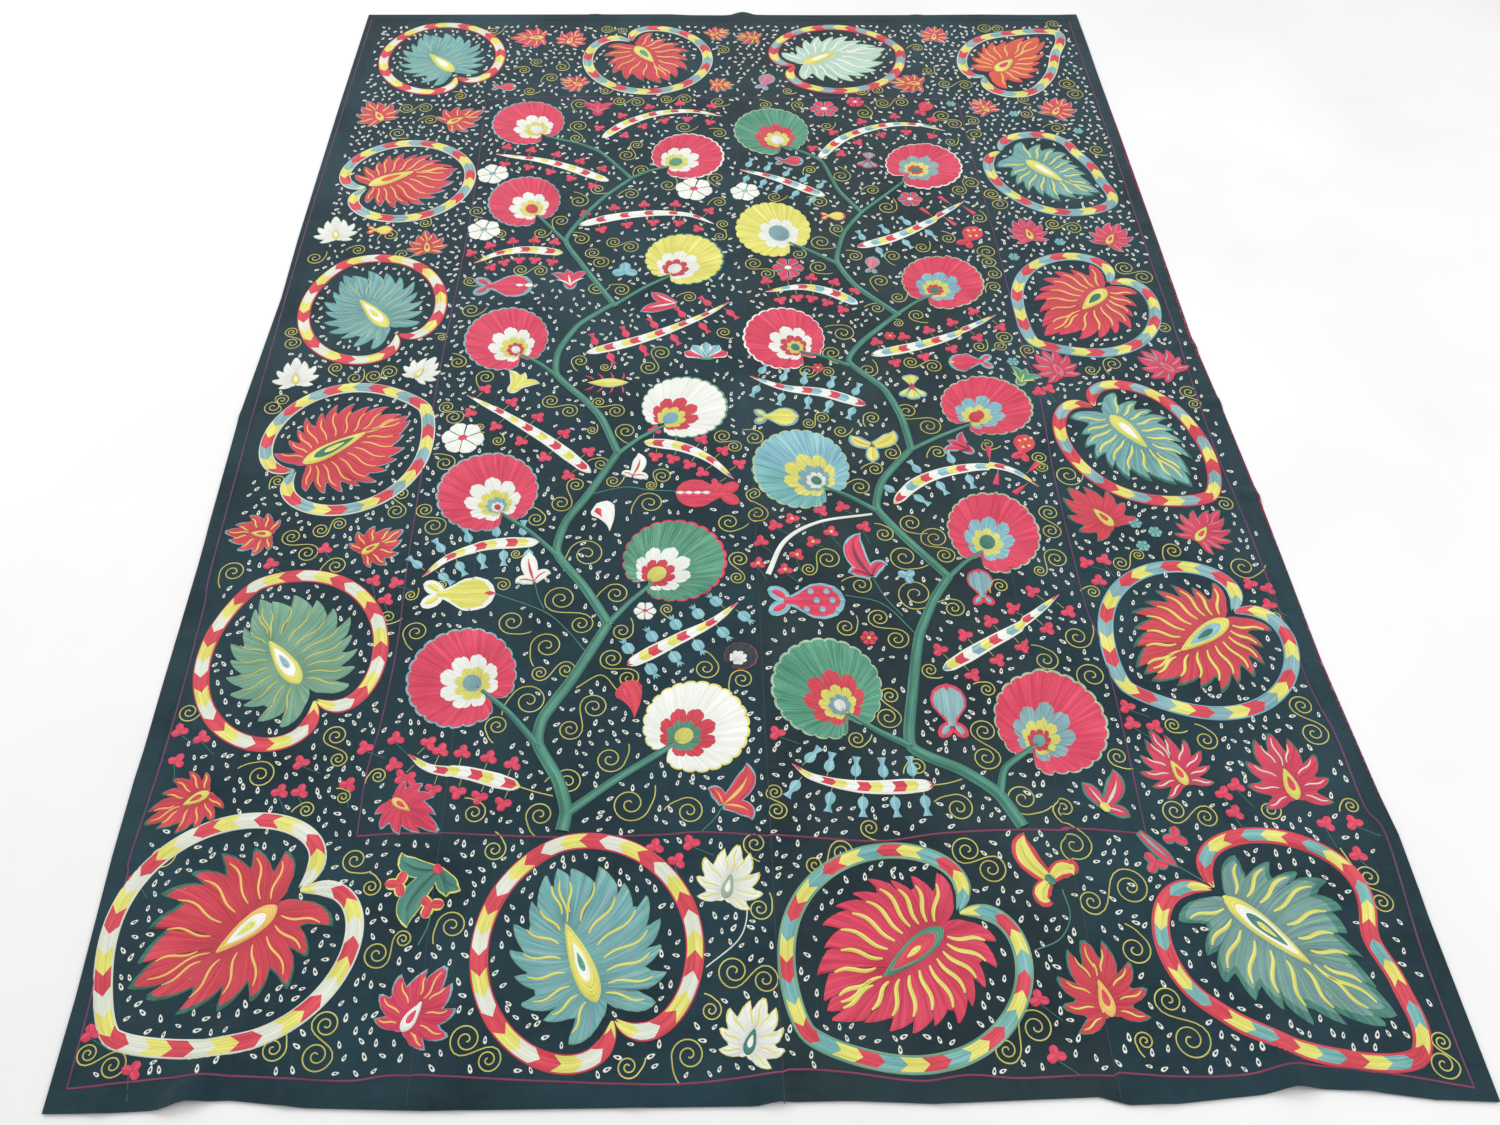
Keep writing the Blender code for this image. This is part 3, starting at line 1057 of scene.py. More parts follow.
@dataclass(frozen=True)
class ArrowRow:
    """Arrow blocks along a line, all pointing the same way, between two rows of outline."""

    outline: Thread
    blocks: tuple[Thread, ...]
    width: float
    length: float
    lead: float
    steps: int
    columns: tuple[float, ...]
    profile: tuple[float, ...]

    def sew(self, work: Stitchwork, line: Array, swell: Callable[[Array, float], Array]) -> None:
        """Sew the blocks.

        Args:
            work: Embroidery that they join.
            line: Finely divided middle line.
            swell: Share of the width at places along a line of some length.
        """
        along, sides = lengths_of(line), normals_of(line)
        step = self.length / self.steps
        places = np.arange(-1, math.ceil(along[-1] / step) + 1) * step
        across = np.array(self.columns)
        at = np.clip(places[:, None] + self.lead * (1.0 - np.abs(across))[None, :], 0.0, along[-1])
        half = self.width / 2 * swell(at, along[-1])
        aside = across * half
        points = points_at(at, along, line) + points_at(at, along, sides) * aside[..., None]
        block = (np.arange(len(places) - 1) // self.steps) % len(self.blocks)
        cells = np.array([thread.value for thread in self.blocks])[block]
        cells = cells[:, None].repeat(len(across) - 1, axis=1)
        cells[:, (0, -1)] = self.outline.value
        rows = np.stack([at, aside], axis=-1)
        work.add_grid(points, np.array(self.profile)[None, :], rows, cells)


@dataclass(frozen=True)
class HeartBand:
    """The band of arrow blocks that runs round a medallion."""

    form: HeartForm
    outline: Thread
    blocks: tuple[Thread, ...]
    border: float = 0.80
    width: float = 0.0235
    block_length: float = 0.026
    lead: float = 0.0135
    taper: float = 0.035

    def swell(self, at: Array, length: float) -> Array:
        """Narrow the band at both of its ends."""
        return np.sqrt(np.clip(np.minimum(at, length - at) / self.taper, 0.02, 1.0))

    def sew(self, work: Stitchwork) -> None:
        """Sew the band.

        Args:
            work: Embroidery that it joins.
        """
        turn = np.linspace(0.02, TURN - 0.02, 400)
        way = turn + self.form.cleft_angle()
        inward = -np.stack([np.cos(way), np.sin(way)], axis=1) * self.width / 2
        line = even_points(self.form.points(turn) + inward, BLOCK_LINE_STEP)
        columns = (-1.0, -self.border, -0.42, 0.0, 0.42, self.border, 1.0)
        profile = (EDGE_SINK, 0.0011, 0.0014, 0.0015, 0.0014, 0.0011, EDGE_SINK)
        ArrowRow(self.outline, self.blocks, self.width, self.block_length, self.lead, 4, columns,
                 profile).sew(work, line, self.swell)


@dataclass(frozen=True)
class JaggedLeaf:
    """A leaf of flame-like lobes round a spindle eye, with veins that sweep to its tip."""

    form: HeartForm
    fill: Thread
    edge: Thread
    vein: Thread | None
    eye_start: Array
    eye_end: Array
    eye_threads: tuple[Thread, ...]
    lobes: int = 19
    share: float = 0.67
    base_share: float = 0.24
    notch: float = 0.19
    lean: float = 0.17
    eye_width: float = 0.0130
    vein_width: float = 0.0040
    edge_rings: int = 1
    streak: Thread | None = None
    samples: int = 8
    tip_share: float = 0.08
    start: float = 0.16
    peak: float = 0.66

    def reach(self, turn: Array) -> tuple[Array, Array]:
        """Outline of the lobes.

        Args:
            turn: Angle from the leaf's base.

        Returns:
            Share of the form's reach, and the turn after the lobes have leaned to the tip.
        """
        start = self.start
        whole = np.clip((turn - start) / (TURN - 2 * start), 0.0, 0.99999) * self.lobes
        within = whole - np.floor(whole)
        towards_tip = np.where(turn < np.pi, within, 1.0 - within)
        rising = 1.0 - (1.0 - np.clip(towards_tip / self.peak, 0, 1)) ** 1.6
        falling = np.clip((1.0 - towards_tip) / (1.0 - self.peak), 0, 1) ** 1.15
        lobe = np.minimum(rising, falling)
        middle = np.abs(np.floor(whole) - (self.lobes - 1) / 2) < 0.25
        lobe = np.where(middle, 1.0 - np.abs(2 * within - 1) ** 1.1, lobe)
        # Lobes differ a little in length, in an even but not equal rhythm
        size = 1.0 + 0.045 * np.sin(2.4 * np.floor(whole) + 3.0 * self.form.centre[0])
        outside = (turn < start) | (turn > TURN - start)
        lobe = np.where(outside, 0.0, lobe)
        leaned = turn + self.lean * lobe * np.where(turn < np.pi, 1.0, -1.0) * ~middle
        from_base = np.minimum(turn, TURN - turn)
        reach = self.share + self.base_share * np.exp(-((from_base / 0.40) ** 2))
        reach = reach + self.tip_share * np.exp(-(((np.pi - from_base) / 0.45) ** 2))
        return reach * (1.0 - self.notch * (1.0 - lobe)) * size, leaned

    def eye_points(self, turn: Array, share: object = 1.0) -> Array:
        """Points round the spindle eye.

        Args:
            turn: Angles from the leaf's base.
            share: Share of the eye's size.

        Returns:
            Places, x and y last.
        """
        middle = (self.eye_start + self.eye_end) / 2
        length = np.linalg.norm(self.eye_end - self.eye_start)
        ahead = (self.eye_end - self.eye_start) / length
        side = -turn_left(ahead)
        forward = -np.cos(turn)
        swell = np.sin(turn) * (1.0 - 0.45 * np.clip(forward, -1, 1)) * np.abs(np.sin(turn)) ** 0.25
        reach = forward[..., None] * ahead * length / 2 + swell[..., None] * side * self.eye_width
        return middle + reach * np.asarray(share)[..., None]

    def rib(self, turn: Array, ring: Array) -> Array:
        """Points on the ribs that sweep from the eye to the outline.

        Args:
            turn: Angles from the base (n,).
            ring: Shares of the way out (m,).

        Returns:
            Points (n, m, 2).
        """
        share, leaned = self.reach(turn)
        outer = self.form.points(leaned, share)
        inner = self.eye_points(turn, 0.85)
        ahead = self.eye_end - self.eye_start
        ahead = ahead / np.linalg.norm(ahead)
        length = np.linalg.norm(outer - inner, axis=-1)
        pull = 0.16 * (length * np.abs(np.sin(turn)))[:, None] * ahead
        control = (inner + outer) / 2 - pull
        g = ring[None, :, None]
        return inner[:, None] * (1 - g) ** 2 + 2 * control[:, None] * g * (1 - g) + outer[:, None] * g**2

    def sew(self, work: Stitchwork) -> None:
        """Sew the lobes, then the veins and the eye on top.

        Args:
            work: Embroidery that it joins.
        """
        turn = np.linspace(0.0, TURN, self.lobes * self.samples + 1)
        rings = np.array([0.0, 0.14, 0.34, 0.54, 0.72, 0.86, 0.925, 0.965, 1.0])
        points = self.rib(turn, rings)
        share, _ = self.reach(turn)
        crown = (share / share.max() - (1 - self.notch)) / self.notch
        profile = np.array([0.0010, 0.0012, 0.0013, 0.0013, 0.0012, 0.0012, 0.0010, 0.0008, EDGE_SINK])
        heights = profile[None, :] * (0.72 + 0.28 * np.clip(crown, 0, 1))[:, None]
        heights[:, -1] = EDGE_SINK
        cells = np.full((len(turn) - 1, len(rings) - 1), self.fill.value)
        if self.streak is not None:
            step = np.arange(len(cells)) % self.samples
            cells[(step == 2) | (step == 5), 1:5] = self.streak.value
        cells[:, -self.edge_rings:] = self.edge.value
        along = np.cumsum(np.linalg.norm(np.diff(points, axis=1, prepend=points[:, :1]), axis=-1), axis=1)
        round_about = lengths_of(points[:, 5])[:, None].repeat(len(rings), axis=1)
        work.add_grid(points, heights, np.stack([along, round_about], axis=-1), cells)
        if self.vein is not None:
            self.sew_veins(work)
        self.sew_eye(work)

    def sew_veins(self, work: Stitchwork) -> None:
        """Sew one vein up each lobe.

        Args:
            work: Embroidery that it joins.
        """
        start = self.start
        share = np.linspace(0.0, 1.0, 12)
        swell = np.sin((0.06 + 0.88 * share) * np.pi) ** 0.5
        for lobe in range(self.lobes):
            from_tip = abs(lobe - (self.lobes - 1) / 2)
            middle = from_tip < 0.25
            first = 0.12 if middle else 0.14 + 0.30 * math.exp(-from_tip / 1.6)
            ring = first + (0.78 - first) * share
            peak = 0.5 if middle else self.peak
            before = (lobe + 0.5) / self.lobes < 0.5
            place = lobe + (peak if before or middle else 1.0 - peak)
            turn = np.array([start + place / self.lobes * (TURN - 2 * start)])
            path = self.rib(turn, ring)[0]
            sway = 0.05 * np.linalg.norm(path[-1] - path[0]) * np.sin(TURN * share)
            path = path + normals_of(path) * (sway if before else -sway)[:, None]
            work.add_ribbon(path, self.vein_width / 2 * swell, self.vein, 0.0008,
                            (-1.0, -0.5, 0.5, 1.0), lift=0.0011)

    def sew_eye(self, work: Stitchwork) -> None:
        """Sew the eye as rings, one inside the other.

        Args:
            work: Embroidery that it joins.
        """
        turn = np.linspace(0.0, TURN, 41)
        count = len(self.eye_threads)
        shares = np.repeat(np.linspace(1.0, 0.0, count + 1), 2)[1:-1]
        shares = np.concatenate([[1.06], shares[0::2] * 0.99, [0.01]])
        points = np.stack([self.eye_points(turn, np.full_like(turn, share)) for share in shares], axis=1)
        heights = np.concatenate([[0.0004], np.full(len(shares) - 1, 0.0021)])
        cells = np.array([thread.value for thread in (self.eye_threads[0], *self.eye_threads)])
        rows = np.empty((*points.shape[:2], 2))
        rows[..., 0] = lengths_of(points[:, 0])[:, None]
        rows[..., 1] = (1.0 - shares)[None, :] * self.eye_width
        work.add_grid(points, heights[None, :], rows, np.broadcast_to(cells, (40, len(cells))))


@dataclass(frozen=True)
class Medallion:
    """One of the big hearts of the border: its band and the leaf in it, placed in the picture."""

    box: tuple[float, float, float, float]
    cleft: Pixel
    tip: Pixel
    outline: Thread
    blocks: tuple[Thread, Thread, Thread]
    fill: Thread
    edge: Thread
    vein: Thread | None
    eye: tuple[Pixel, Pixel]
    eye_threads: tuple[Thread, ...]
    lobes: int = 17
    notch: float = 0.19
    border: float = 0.80
    edge_rings: int = 1
    vein_width: float = 0.0040
    streak: Thread | None = None
    pins: tuple[Pixel, ...] = ()

    def sew(self, bands: Stitchwork, leaves: Stitchwork) -> None:
        """Sew the band and the leaf.

        Args:
            bands: Embroidery of the bands.
            leaves: Embroidery of the leaves.
        """
        centre, half = VIEW.box(*self.box)
        pins = tuple(VIEW.spot(pin) for pin in self.pins)
        form = HeartForm(centre, half, VIEW.spot(self.cleft), VIEW.spot(self.tip), pins)
        HeartBand(form, self.outline, self.blocks, self.border).sew(bands)
        start, end = VIEW.spot(self.eye[0]), VIEW.spot(self.eye[1])
        JaggedLeaf(form, self.fill, self.edge, self.vein, start, end, self.eye_threads, self.lobes,
                   notch=self.notch, edge_rings=self.edge_rings, vein_width=self.vein_width,
                   streak=self.streak).sew(leaves)


# Medallions: box left, right, top, bottom; cleft; tip; outline; blocks; leaf; edge; vein; eye; its threads;
# then lobes, notch, border, rows of edge, width of a vein, streaks, points that the band passes
MEDALLIONS = (
    Medallion((378.7, 505.5, 23, 96), (457.6, 78.8), (425, 25), RED, (RED, PALE, YELLOW), TEAL, SEA,
              SAGE, ((453, 71.5), (430, 54.5)), (YELLOW, WHITE), 19, 0.26, 0.80, 1, 0.0024),
    Medallion((582.4, 713, 25, 94.5), (629.6, 40), (660, 94), PALE, (GREY_BLUE, YELLOW, RED), RED, PINE,
              AMBER, ((636, 47), (653, 62)), (YELLOW, DARK_GREEN), 15, 0.28, 0.80, 1, 0.0036),
    Medallion((766, 904, 24.7, 94), (792, 66.7), (903, 48), RED, (RED, YELLOW, GREY_BLUE), MINT, SAGE,
              WHITE, ((804, 64), (836, 52)), (YELLOW, WHITE), 17, 0.23),
    Medallion((949.6, 1063.6, 23, 99.4), (982.4, 77.6), (1061, 31.5), PALE, (GREY_BLUE, YELLOW, RED), ORANGE,
              CRIMSON, AMBER, ((996, 71), (1012, 60)), (YELLOW, RED), 15, 0.24,
              pins=((987, 34), (1060, 55), (1051, 82), (1025, 97))),
    Medallion((334.4, 475, 140, 222.5), (362.7, 188.8), (474, 165), PALE, (GREY_BLUE, YELLOW, RED), RED,
              GREY_BLUE, AMBER, ((370, 185), (413, 172)), (YELLOW, ORANGE), 19, 0.24, 0.80, 1, 0.0034),
    Medallion((298, 446.8, 255, 365.6), (399.3, 337), (345, 260), RED, (RED, PALE, YELLOW), TEAL, PINE,
              SAGE, ((387, 327), (361, 300.6)), (YELLOW, WHITE, YELLOW), 19, 0.26, 0.80, 1, 0.0026, SLATE),
    Medallion((257, 431.5, 383, 516.4), (291, 472.7), (431, 405), PALE, (GREY_BLUE, YELLOW, RED), RED,
              GREY_BLUE, AMBER, ((304, 463), (365, 433)), (YELLOW, PINE, YELLOW), 21, 0.24, 0.80, 1, 0.0028),
    Medallion((194.7, 387, 571, 754), (317.3, 704), (255, 580), RED, (YELLOW, PALE, RED), SEA, SEA,
              OLIVE, ((299, 683), (270, 642)), (YELLOW, WHITE, GREY_BLUE), 19, 0.22, 0.80, 1, 0.0024),
    Medallion((101, 366, 812, 1057), (303.6, 888), (102, 1045), PALE, (PALE, YELLOW, RED), RED,
              PINE, AMBER, ((276, 907), (217, 952)), (AMBER, WHITE, YELLOW), 15, 0.28, 0.80, 2, 0.0034),
    Medallion((469, 705, 834, 1080), (615.6, 1026), (560, 836), RED, (YELLOW, PALE, RED), TEAL, SEA,
              YELLOW, ((596, 1001), (566, 925)), (YELLOW, YELLOW, WHITE, DARK_GREEN), 17, 0.22, 0.80, 1,
              0.0036, GREY_BLUE),
    Medallion((778.8, 1035, 841.6, 1075.5), (962, 909.7), (800, 1040), SEA, (TEAL, YELLOW, RED),
              CRIMSON, RED, YELLOW, ((941.5, 929), (885, 976)), (DARK_GREEN, RED, RED, YELLOW), 21, 0.17,
              0.68, 1, 0.0054),
    Medallion((1148.5, 1433.7, 824, 1073), (1208.4, 885.5), (1429, 1065), RED, (YELLOW, TEAL, RED),
              SLATE, GREEN, YELLOW, ((1225, 898), (1309, 963)), (YELLOW, WHITE, GREEN, YELLOW), 17, 0.20,
              0.66, 3, 0.0050, SEA,
              ((1338, 852), (1379, 933), (1410, 989), (1174, 983), (1224, 1024), (1298, 1058))),
    Medallion((1101, 1298, 560, 720.6), (1236, 610), (1120, 690), SKY, (GREY_BLUE, YELLOW, RED), RED,
              PINE, YELLOW, ((1227, 620), (1182, 650)), (YELLOW, SKY, PINE), 19, 0.27, 0.80, 2, 0.0044),
    Medallion((1047, 1219, 375, 507), (1091, 404.5), (1217, 500), RED, (RED, YELLOW, GREY_BLUE), TEAL,
              PINE, YELLOW, ((1111, 416), (1146, 447)), (YELLOW, WHITE), 17, 0.24, 0.80, 2, 0.0046, SLATE,
              ((1192, 418), (1074, 467))),
    Medallion((1012.6, 1160.5, 252, 357), (1111, 282), (1030, 345), SKY, (GREY_BLUE, YELLOW, RED), RED,
              CRIMSON, AMBER, ((1105, 290), (1083, 309)), (YELLOW, PINE), 17, 0.24, 0.80, 2, 0.0040),
    Medallion((978.7, 1120, 128, 218), (994.5, 149), (1117, 205), SKY, (YELLOW, RED, GREY_BLUE), TEAL,
              PINE, YELLOW, ((1027, 161), (1062, 181)), (YELLOW, WHITE), 17, 0.24, 0.80, 2, 0.0046, SLATE,
              ((1056, 135), (1082, 153), (1106, 180), (1063, 216), (1015, 201), (987, 177))),
)


@dataclass(frozen=True)
class FanFlower:
    """A big round scalloped flower with clouds of other colours round its heart."""

    box: tuple[float, float, float, float]
    heart: Pixel
    edge: Thread
    threads: tuple[Thread, ...]
    scallops: int = 24
    clouds: int = 8
    first_cloud: float = 0.52
    shrink: float = 0.62
    rays: Thread | None = None
    side: Thread | None = None
    samples: int = 6
    side_turn: float = 0.5
    side_bound: float = -0.35

    def rings(self, turn: Array, stem: float) -> tuple[Array, list[int]]:
        """Shares of the way from the heart to the outline, ring by ring.

        Args:
            turn: Angles round the flower.
            stem: Angle of the stem.

        Returns:
            Shares (n, rings), and the number of the thread for each ring of cells.
        """
        lobes = np.abs(np.sin((turn - stem) * self.clouds / 2)) ** 0.55
        bounds = [np.ones_like(turn), np.full_like(turn, 0.958)]
        inner = len(self.threads) - 1
        for number in range(inner):
            share = self.first_cloud * self.shrink**number
            if number == inner - 1:
                bounds.append(share * (0.72 - 0.42 * np.cos(turn - stem)))
            else:
                bounds.append(share * (0.80 + 0.24 * lobes))
        bounds.append(np.full_like(turn, 0.01))
        steps = [1, 5] + [2] * inner
        shares, numbers = [], []
        for number, (outer, following, count) in enumerate(zip(bounds, bounds[1:], steps)):
            for step in range(count):
                shares.append(outer + (following - outer) * step / count)
                numbers.append(number)
        shares.append(bounds[-1])
        return np.stack(shares, axis=1), numbers

    def sew(self, work: Stitchwork) -> None:
        """Sew the flower as rings about its heart.

        Args:
            work: Embroidery that it joins.
        """
        centre, half = VIEW.box(*self.box)
        heart = VIEW.spot(self.heart)
        stem = math.atan2(heart[1] - centre[1], heart[0] - centre[0])
        turn = stem + np.linspace(0.0, TURN, self.scallops * self.samples + 1)
        scallop = np.abs(np.sin((turn - stem) * self.scallops / 2)) ** 0.5
        away = np.minimum(turn - stem, stem + TURN - turn)
        notch = 1.0 - 0.26 * np.exp(-((away / 0.15) ** 2))
        reach = (0.957 + 0.043 * scallop) * notch
        outline = centre + np.stack([np.cos(turn), np.sin(turn)], axis=1) * half * reach[:, None]
        shares, numbers = self.rings(turn, stem)
        points = heart + (outline - heart)[:, None] * shares[..., None]
        threads = (self.edge, *self.threads)
        heights = np.empty(shares.shape[1])
        for place in range(len(heights)):
            border = place in (0, len(heights) - 1) or numbers[place] != numbers[place - 1]
            heights[place] = 0.0010 if border else 0.0015
        heights[0], heights[-1] = EDGE_SINK, 0.0014
        crown = 0.86 + 0.14 * scallop[:, None]
        raised = np.where(heights[None, :] > 0, heights[None, :] * crown, heights[None, :])
        cells = np.array([threads[number].value for number in numbers])
        cells = np.broadcast_to(cells, (len(turn) - 1, len(cells))).copy()
        if self.side is not None:
            low = np.sin(turn[:-1] + self.side_turn) < self.side_bound
            cells[np.ix_(low, np.array(numbers) == 1)] = self.side.value
        along = np.linalg.norm(points - heart, axis=-1)
        rows = np.stack([along, np.broadcast_to((turn - stem)[:, None] * half.mean() * 0.7, along.shape)],
                        axis=-1)
        work.add_grid(points, raised, rows, cells)
        if self.rays is not None:
            for spoke in points[4::4]:
                path = np.linspace(spoke[1] * 0.9 + heart * 0.1, spoke[1] * 0.62 + heart * 0.38, 5)
                work.add_ribbon(path, 0.0006, self.rays, 0.0005, THIN_ROW, lift=0.0014)


# Fan flowers: box left, right, top, bottom; heart; outline thread; threads from outside to the heart
FANS = (
    FanFlower((491, 565, 101, 145), (540, 133), GREY_BLUE, (CRIMSON, WHITE, YELLOW, WHITE)),
    FanFlower((651, 725, 133, 179), (671, 165), WHITE, (CRIMSON, WHITE, YELLOW, DARK_GREEN)),
    FanFlower((487, 561, 176, 227), (535, 213), GREY_BLUE, (CRIMSON, WHITE, YELLOW, RED)),
    FanFlower((644, 725, 233, 285), (671, 273), GREEN, (YELLOW, WHITE, RED, WHITE)),
    FanFlower((463, 549, 307, 371), (518, 353), GREY_BLUE, (CRIMSON, WHITE, YELLOW, RED, WHITE)),
    FanFlower((641, 729, 376, 438), (665, 423), SEA, (WHITE, RED, YELLOW, SKY)),
    FanFlower((435, 539, 452, 532), (499, 510), GREY_BLUE, (CRIMSON, WHITE, YELLOW, SKY, WHITE, RED)),
    FanFlower((622, 728, 519, 602), (650, 580), CRIMSON, (DARK_GREEN, WHITE, RED, YELLOW), rays=SAGE),
    FanFlower((405, 517, 627, 729), (478, 688), GREY_BLUE, (CRIMSON, WHITE, YELLOW, GREY_BLUE)),
    FanFlower((642, 751, 680, 773), (678, 741), YELLOW, (WHITE, RED, DARK_GREEN, YELLOW)),
    FanFlower((733, 809, 108, 155), (780, 144), SAGE, (DARK_GREEN, RED, YELLOW, WHITE)),
    FanFlower((885, 963, 143, 189), (913, 171), WHITE, (CRIMSON, GREY_BLUE, YELLOW, RED, GREEN)),
    FanFlower((735, 811, 202, 257), (785, 239), YELLOW, (YELLOW, WHITE, GREY_BLUE)),
    FanFlower((901, 985, 255, 309), (933, 292), SAGE, (CRIMSON, SKY, YELLOW, RED, GREEN)),
    FanFlower((742, 825, 307, 370), (798, 350), WHITE, (CRIMSON, WHITE, RED, YELLOW, GREEN)),
    FanFlower((940, 1034, 376, 436), (972, 421), SAGE, (CRIMSON, SKY, YELLOW, RED)),
    FanFlower((751, 850, 429, 509), (820, 484), SAGE, (SKY, YELLOW, GREY_BLUE, WHITE, GREEN), rays=TEAL,
              side=TEAL),
    FanFlower((947, 1041, 491, 573), (984, 547), SAGE, (CRIMSON, SKY, YELLOW, GREEN)),
    FanFlower((770, 883, 637, 740), (843, 710), SAGE, (DARK_GREEN, RED, YELLOW, GREY_BLUE, WHITE),
              rays=GREEN),
    FanFlower((994, 1109, 669, 776), (1036, 744), SAGE, (CRIMSON, GREY_BLUE, YELLOW, RED, TEAL)),
    FanFlower((724, 758, 642, 669), (735, 660), RED, (NAVY, WHITE, WHITE), 12),
)


@dataclass(frozen=True)
class Bough:
    """A green bough or stem of several rows, along a few picture points."""

    route: tuple[Pixel, ...]
    start_width: float
    end_width: float
    plain: Thread | None = None

    def sew(self, work: Stitchwork) -> None:
        """Sew the bough as rows of three greens side by side, or plain in one thread.

        Args:
            work: Embroidery that it joins.
        """
        slack = 0.30 if self.plain is None else 0.5
        path = smooth_path(VIEW.on_cloth(self.route), ROW_STEP, slack)
        half = np.linspace(self.start_width, self.end_width, len(path)) / 2
        if self.plain is not None:
            work.add_ribbon(path, half, self.plain, 0.0012)
            return
        across = (-1.0, -0.72, -0.42, -0.14, 0.14, 0.42, 0.72, 1.0)
        cells = np.full((len(path) - 1, 7), GREEN.value)
        cells[:, 3] = DARK_GREEN.value
        cells[:, (0, 5)] = PINE.value
        work.add_ribbon(path, half, cells, 0.0017, across, lift=0.0006)


# Boughs: picture points from root to end, width at the root, width at the end, thread if plain
BOUGHS = (
    Bough(((562, 831), (566, 810), (558, 780), (538, 744), (543, 718), (573, 678), (608, 624)), 0.018, 0.015),
    Bough(((566, 814), (612, 782), (674, 744)), 0.013, 0.009),
    Bough(((540, 748), (508, 712), (482, 691)), 0.011, 0.007),
    Bough(((608, 624), (630, 602), (653, 583)), 0.010, 0.007),
    Bough(((610, 626), (585, 588), (557, 553), (566, 522), (588, 495), (618, 453)), 0.015, 0.013),
    Bough(((558, 556), (530, 532), (502, 514)), 0.009, 0.006),
    Bough(((616, 455), (640, 438), (664, 426)), 0.009, 0.006),
    Bough(((619, 455), (602, 419), (586, 401), (557, 375), (559, 351), (579, 325), (615, 303)), 0.013, 0.011),
    Bough(((558, 377), (540, 364), (521, 355)), 0.008, 0.006),
    Bough(((613, 306), (644, 288), (670, 276)), 0.009, 0.006),
    Bough(((616, 307), (580, 262), (566, 240), (585, 215), (606, 196), (634, 177)), 0.011, 0.009),
    Bough(((567, 243), (551, 228), (538, 216)), 0.008, 0.006),
    Bough(((632, 178), (650, 171), (668, 167)), 0.008, 0.006),
    Bough(((632, 179), (600, 152), (575, 143), (546, 137)), 0.008, 0.006),
    Bough(((1023, 826), (998, 793), (962, 770), (911, 746), (913, 688), (919, 637), (934, 599), (949, 576)),
          0.018, 0.014),
    Bough(((1000, 797), (1005, 768), (1033, 746)), 0.011, 0.008),
    Bough(((913, 747), (880, 732), (848, 714)), 0.011, 0.007),
    Bough(((947, 579), (964, 563), (982, 551)), 0.009, 0.006),
    Bough(((950, 578), (903, 536), (877, 508), (883, 480), (911, 449)), 0.014, 0.012),
    Bough(((877, 511), (850, 497), (824, 487)), 0.009, 0.006),
    Bough(((908, 451), (940, 436), (970, 424)), 0.009, 0.006),
    Bough(((912, 451), (901, 416), (883, 388), (849, 362), (862, 342), (899, 313)), 0.013, 0.010),
    Bough(((850, 366), (824, 357), (800, 352)), 0.008, 0.006),
    Bough(((896, 315), (916, 302), (934, 294)), 0.008, 0.006),
    Bough(((900, 316), (856, 286), (837, 261), (844, 233), (862, 212)), 0.011, 0.009),
    Bough(((838, 264), (812, 252), (789, 243)), 0.008, 0.006),
    Bough(((859, 214), (884, 196), (908, 178)), 0.008, 0.006),
    Bough(((863, 214), (839, 191), (822, 162), (802, 152), (784, 147)), 0.009, 0.006),
    Bough(((872, 514), (819, 522), (785, 541), (768, 575)), 0.004, 0.009, WHITE),
)


class MotifKind(Enum):
    """Kinds of small motif."""

    TREFOIL = "trefoil"
    FLORET = "floret"
    PITCHER = "pitcher"
    POMEGRANATE = "pomegranate"
    TUBE = "tube"
    TULIP = "tulip"
    HALF_FAN = "half_fan"
    CRAB = "crab"
    FISH = "fish"
    PAISLEY = "paisley"
    CROSS = "cross"
    BOW = "bow"


(TREFOIL, FLORET, PITCHER, POMEGRANATE, TUBE, TULIP, HALF_FAN, CRAB, FISH, PAISLEY, CROSS, BOW) = MotifKind
# Motifs of petals all round: their number, outline, first angle, span of angles, width
PETAL_RINGS = {
    TREFOIL: (3, Outline.ROUND, -1.9, 3.8, 0.46),
    FLORET: (6, Outline.DROP, 0.0, TURN * 5 / 6, 0.38),
    CROSS: (6, Outline.DROP, 0.6, TURN * 5 / 6, 0.41),
}
# Motifs of one shape: its outline, half width, steps along it
SINGLE_SHAPES = {PITCHER: (Outline.PITCHER, 0.26, 10), TUBE: (Outline.TUBE, 0.24, 9)}


